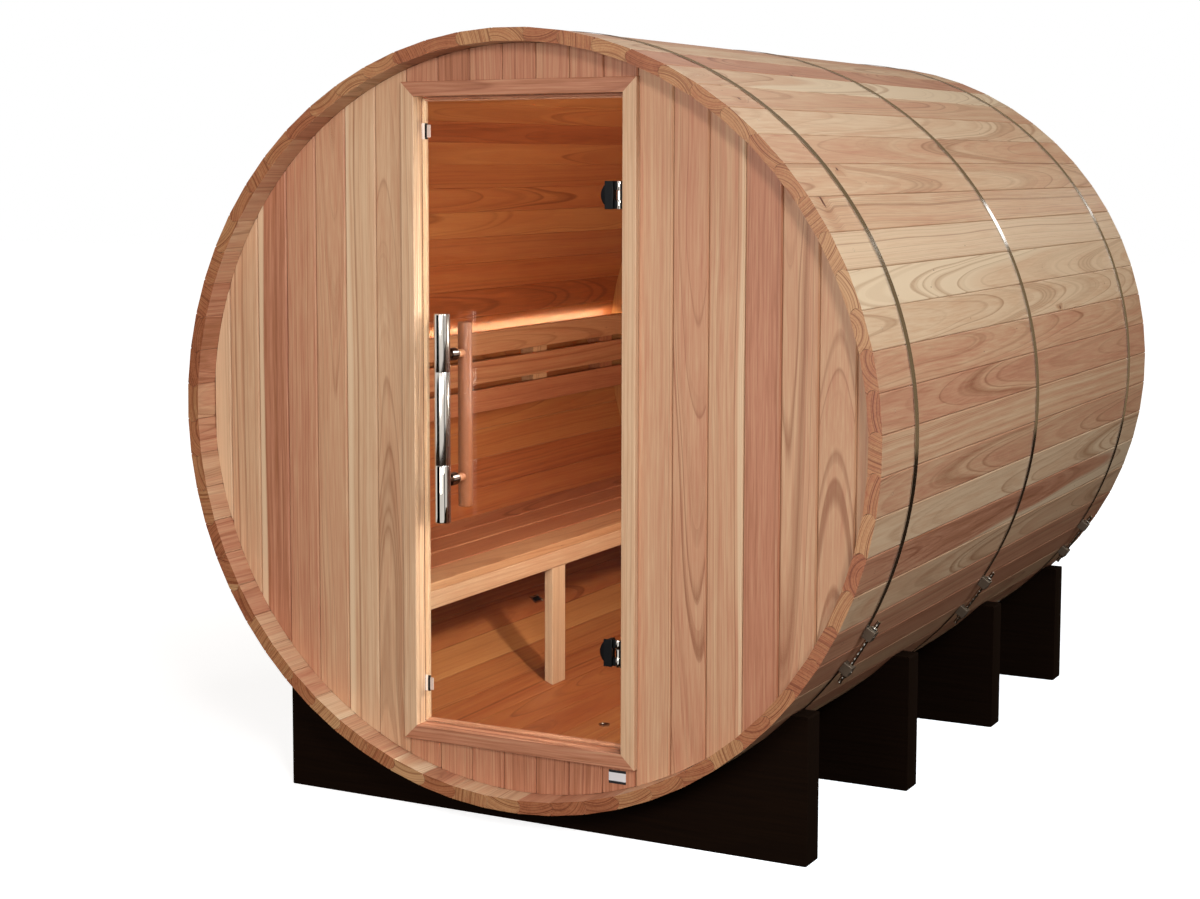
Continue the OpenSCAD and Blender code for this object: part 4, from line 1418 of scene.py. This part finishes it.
class SAUNA_OT_stage(bpy.types.Operator):
    """Set up the camera, the soft studio lights, the pale floor and the white surroundings"""

    bl_idname = "sauna.stage"
    bl_label = "Stage"

    def execute(self, context):
        stage = context.scene.sauna_stage
        self.camera(context.scene, stage)
        self.world(context.scene, stage)
        self.floor()
        # Each lamp: its name, its place, what it faces, its width and height, its power and its colour.
        self.lamp("key", (5.0, -2.1, 5.0), (0, 0, 1.1), (2.6, 2.8), stage.key, stage.daylight)
        self.lamp("front", (0.3, -7.0, 1.9), (0, -1, 0.9), (2.6, 2.0), stage.front)
        self.lamp("corner", (3.6, -5.6, 3.0), (0, -1, 1.0), (0.9, 0.9), stage.corner)
        back = self.lamp("back", (2.0, 6.5, 2.95), (0.6, 0, 1.3), (1.0, 1.0), stage.back)
        back.visible_glossy = False
        self.lamp("inside", (0.55, -0.62, 1.1), (-0.6, 0.1, 0.7), (0.12, 0.12), stage.inside, stage.indoors)
        self.lamp("ceiling", (0.62, 0.1, 1.1), (-0.8, 0.1, 1.2), (1.6, 0.7), stage.ceiling, stage.warm)
        # Each card: its name, its cloth, its place, its width and height, its tilt, its turn and its colour.
        upright, flat = math.pi / 2, 0
        self.card("flag_front", "black cloth", (-4.0, -5.0, 0.3), (5.6, 4.4), upright, 0, "#000000")
        self.card("flag_right", "black felt", (3.3, -3.4, 0.9), (0.9, 3.6), upright, 50, "#000000")
        self.card("flag_back", "tan cloth", (1.5, 7.5, 2.5), (14.0, 6.5), upright, 0, "#8a7559")
        self.card("flag_low", "brown cloth", (1.5, 2.8, -0.4), (11.0, 12.4), flat, 0, "#2c2118")
        self.card("card_back", "white card", (1.9, 6.4, 2.95), (0.5, 0.62), upright, 0, "#ffffff", 4.0)
        context.scene.view_settings.view_transform = "Standard"
        return {"FINISHED"}

    def camera(self, scene, stage):
        """The camera, turned, tilted and rolled, with its lens shifted sideways and down."""
        turn, tilt, roll = stage.aim
        pose = (Matrix.Rotation(turn, 4, "Z") @ Matrix.Rotation(math.pi / 2 - tilt, 4, "X")
                @ Matrix.Rotation(roll, 4, "Z"))
        camera = bpy.data.objects.new("camera", bpy.data.cameras.new("camera"))
        scene.collection.objects.link(camera)
        camera.matrix_world = Matrix.Translation(stage.eye) @ pose
        camera.data.lens = stage.lens
        camera.data.shift_x, camera.data.shift_y = stage.shift
        scene.camera = camera

    def seen(self, tree, mirrors=True):
        """1 for the rays that show the surroundings to the camera, by a mirror too, but light nothing."""
        rays = add(tree, "LightPath")
        through = add(tree, "Math", {0: rays.outputs["Glossy Depth"], 1: 0.5}, operation="LESS_THAN")
        through = add(tree, "Math", {0: rays.outputs["Is Transmission Ray"], 1: through.outputs[0]},
                      operation="MULTIPLY")
        seen = add(tree, "Math", {0: rays.outputs["Is Camera Ray"], 1: through.outputs[0]},
                   operation="MAXIMUM")
        if mirrors:
            mirror = add(tree, "Math", {
                0: rays.outputs["Is Glossy Ray"], 1: rays.outputs["Is Transmission Ray"]},
                operation="GREATER_THAN")
            seen = add(tree, "Math", {0: seen.outputs[0], 1: mirror.outputs[0]}, operation="MAXIMUM")
        direct = add(tree, "Math", {0: rays.outputs["Diffuse Depth"], 1: 0.5}, operation="LESS_THAN")
        both = add(tree, "Math", {0: seen.outputs[0], 1: direct.outputs[0]}, operation="MULTIPLY")
        return both.outputs[0]

    def world(self, scene, stage):
        """A white room that the camera sees, and a much dimmer one that lights the barrel all round."""
        world = bpy.data.worlds.new("white room")
        world.use_nodes = True
        tree = world.node_tree
        tree.nodes.clear()
        soft = add(tree, "Background", {0: (*stage.round_about, 1), 1: stage.room})
        white = add(tree, "Background", {0: (1, 1, 1, 1), 1: 1.0})
        mixed = add(tree, "MixShader", {0: self.seen(tree), 1: soft.outputs[0], 2: white.outputs[0]})
        add(tree, "OutputWorld", {0: mixed.outputs[0]})
        scene.world = world

    def floor(self):
        """A pale floor that shows white, keeps the shadow close to the barrel and bounces little light up."""
        bpy.ops.object.select_all(action="DESELECT")
        bpy.ops.mesh.primitive_plane_add(size=60)
        floor = settle("studio_floor")
        material, tree = blank("pale painted floor")
        place = add(tree, "TexCoord").outputs["Object"]
        reach = add(tree, "VectorMath", {0: place}, operation="LENGTH")
        glow = add(tree, "MapRange", {"Value": reach.outputs["Value"], 1: 1.5, 2: 3.5, 3: 0.8, 4: 1.0})
        seen = self.seen(tree, mirrors=False)
        glow = add(tree, "Math", {0: seen, 1: glow.outputs[0]}, operation="MULTIPLY")
        tone = add(tree, "Mix", {0: seen, 6: (*linear("#6c6965"), 1), 7: (*linear("#e7e7e7"), 1)},
                   data_type="RGBA")
        paint = add(tree, "BsdfDiffuse", {0: tone.outputs[2]})
        white = add(tree, "Emission", {0: (1, 1, 1, 1), 1: glow.outputs[0]})
        both = add(tree, "AddShader", {0: paint.outputs[0], 1: white.outputs[0]})
        add(tree, "OutputMaterial", {0: both.outputs[0]})
        floor.data.materials.append(material)
        floor.visible_glossy = False

    def card(self, name, cloth, place, reach, tilt, turn, colour, strength=1.0):
        """A card or cloth of one colour that only mirrors see, put up to shape the gloss of metal."""
        bpy.ops.object.select_all(action="DESELECT")
        bpy.ops.mesh.primitive_plane_add(size=1, location=place, rotation=(tilt, 0, math.radians(turn)))
        bpy.context.active_object.scale = (*reach, 1)
        card = settle(name)
        material, tree = blank(cloth)
        face = add(tree, "Emission", {0: (*linear(colour), 1), 1: strength})
        add(tree, "OutputMaterial", {0: face.outputs[0]})
        card.data.materials.append(material)
        card.visible_camera = card.visible_diffuse = card.visible_transmission = card.visible_shadow = False

    def lamp(self, name, place, aim, reach, strength, colour=(1, 1, 1)):
        """A rectangular softbox that faces a point, out of sight of the camera."""
        lamp = bpy.data.objects.new(name, bpy.data.lights.new(name, "AREA"))
        bpy.context.scene.collection.objects.link(lamp)
        lamp.data.shape = "RECTANGLE"
        lamp.data.size, lamp.data.size_y = reach
        lamp.data.energy = strength
        lamp.data.color = colour
        lamp.visible_camera = False
        lamp.visible_transmission = False
        lamp.location = place
        lamp.rotation_euler = (Vector(aim) - Vector(place)).to_track_quat("-Z", "Y").to_euler()
        return lamp


# ------------------------------------------------------------------- add-on


PIECES = (
    SAUNA_OT_staves, SAUNA_OT_walls, SAUNA_OT_surround, SAUNA_OT_glass, SAUNA_OT_handle, SAUNA_OT_hinges,
    SAUNA_OT_catches, SAUNA_OT_hoops, SAUNA_OT_cradles, SAUNA_OT_bench, SAUNA_OT_backrest, SAUNA_OT_fixings,
    SAUNA_OT_stage,
)
GROUPS = {
    "sauna_barrel": BarrelSettings, "sauna_walls": WallSettings, "sauna_door": DoorSettings,
    "sauna_hinges": HingeSettings, "sauna_fittings": FittingSettings, "sauna_bench": BenchSettings,
    "sauna_finish": FinishSettings, "sauna_stage": StageSettings,
}


class SAUNA_PT_panel(bpy.types.Panel):
    """Lists the pieces of the sauna"""

    bl_label = "Barrel sauna"
    bl_idname = "SAUNA_PT_panel"
    bl_space_type = "VIEW_3D"
    bl_region_type = "UI"
    bl_category = "Sauna"

    def draw(self, context):
        for piece in PIECES:
            self.layout.operator(piece.bl_idname)


def register():
    """Makes the settings, the operators and the panel known to Blender."""
    for group in GROUPS.values():
        bpy.utils.register_class(group)
    for name, group in GROUPS.items():
        setattr(bpy.types.Scene, name, bpy.props.PointerProperty(type=group))
    for piece in (*PIECES, SAUNA_PT_panel):
        bpy.utils.register_class(piece)


def unregister():
    """Takes the panel, the operators and the settings away again."""
    for piece in (SAUNA_PT_panel, *reversed(PIECES)):
        bpy.utils.unregister_class(piece)
    for name, group in GROUPS.items():
        delattr(bpy.types.Scene, name)
        bpy.utils.unregister_class(group)


def main():
    """Builds every piece and the stage."""
    register()
    for piece in PIECES:
        group, name = piece.bl_idname.split(".")
        getattr(getattr(bpy.ops, group), name)()


if __name__ == "__main__":
    main()
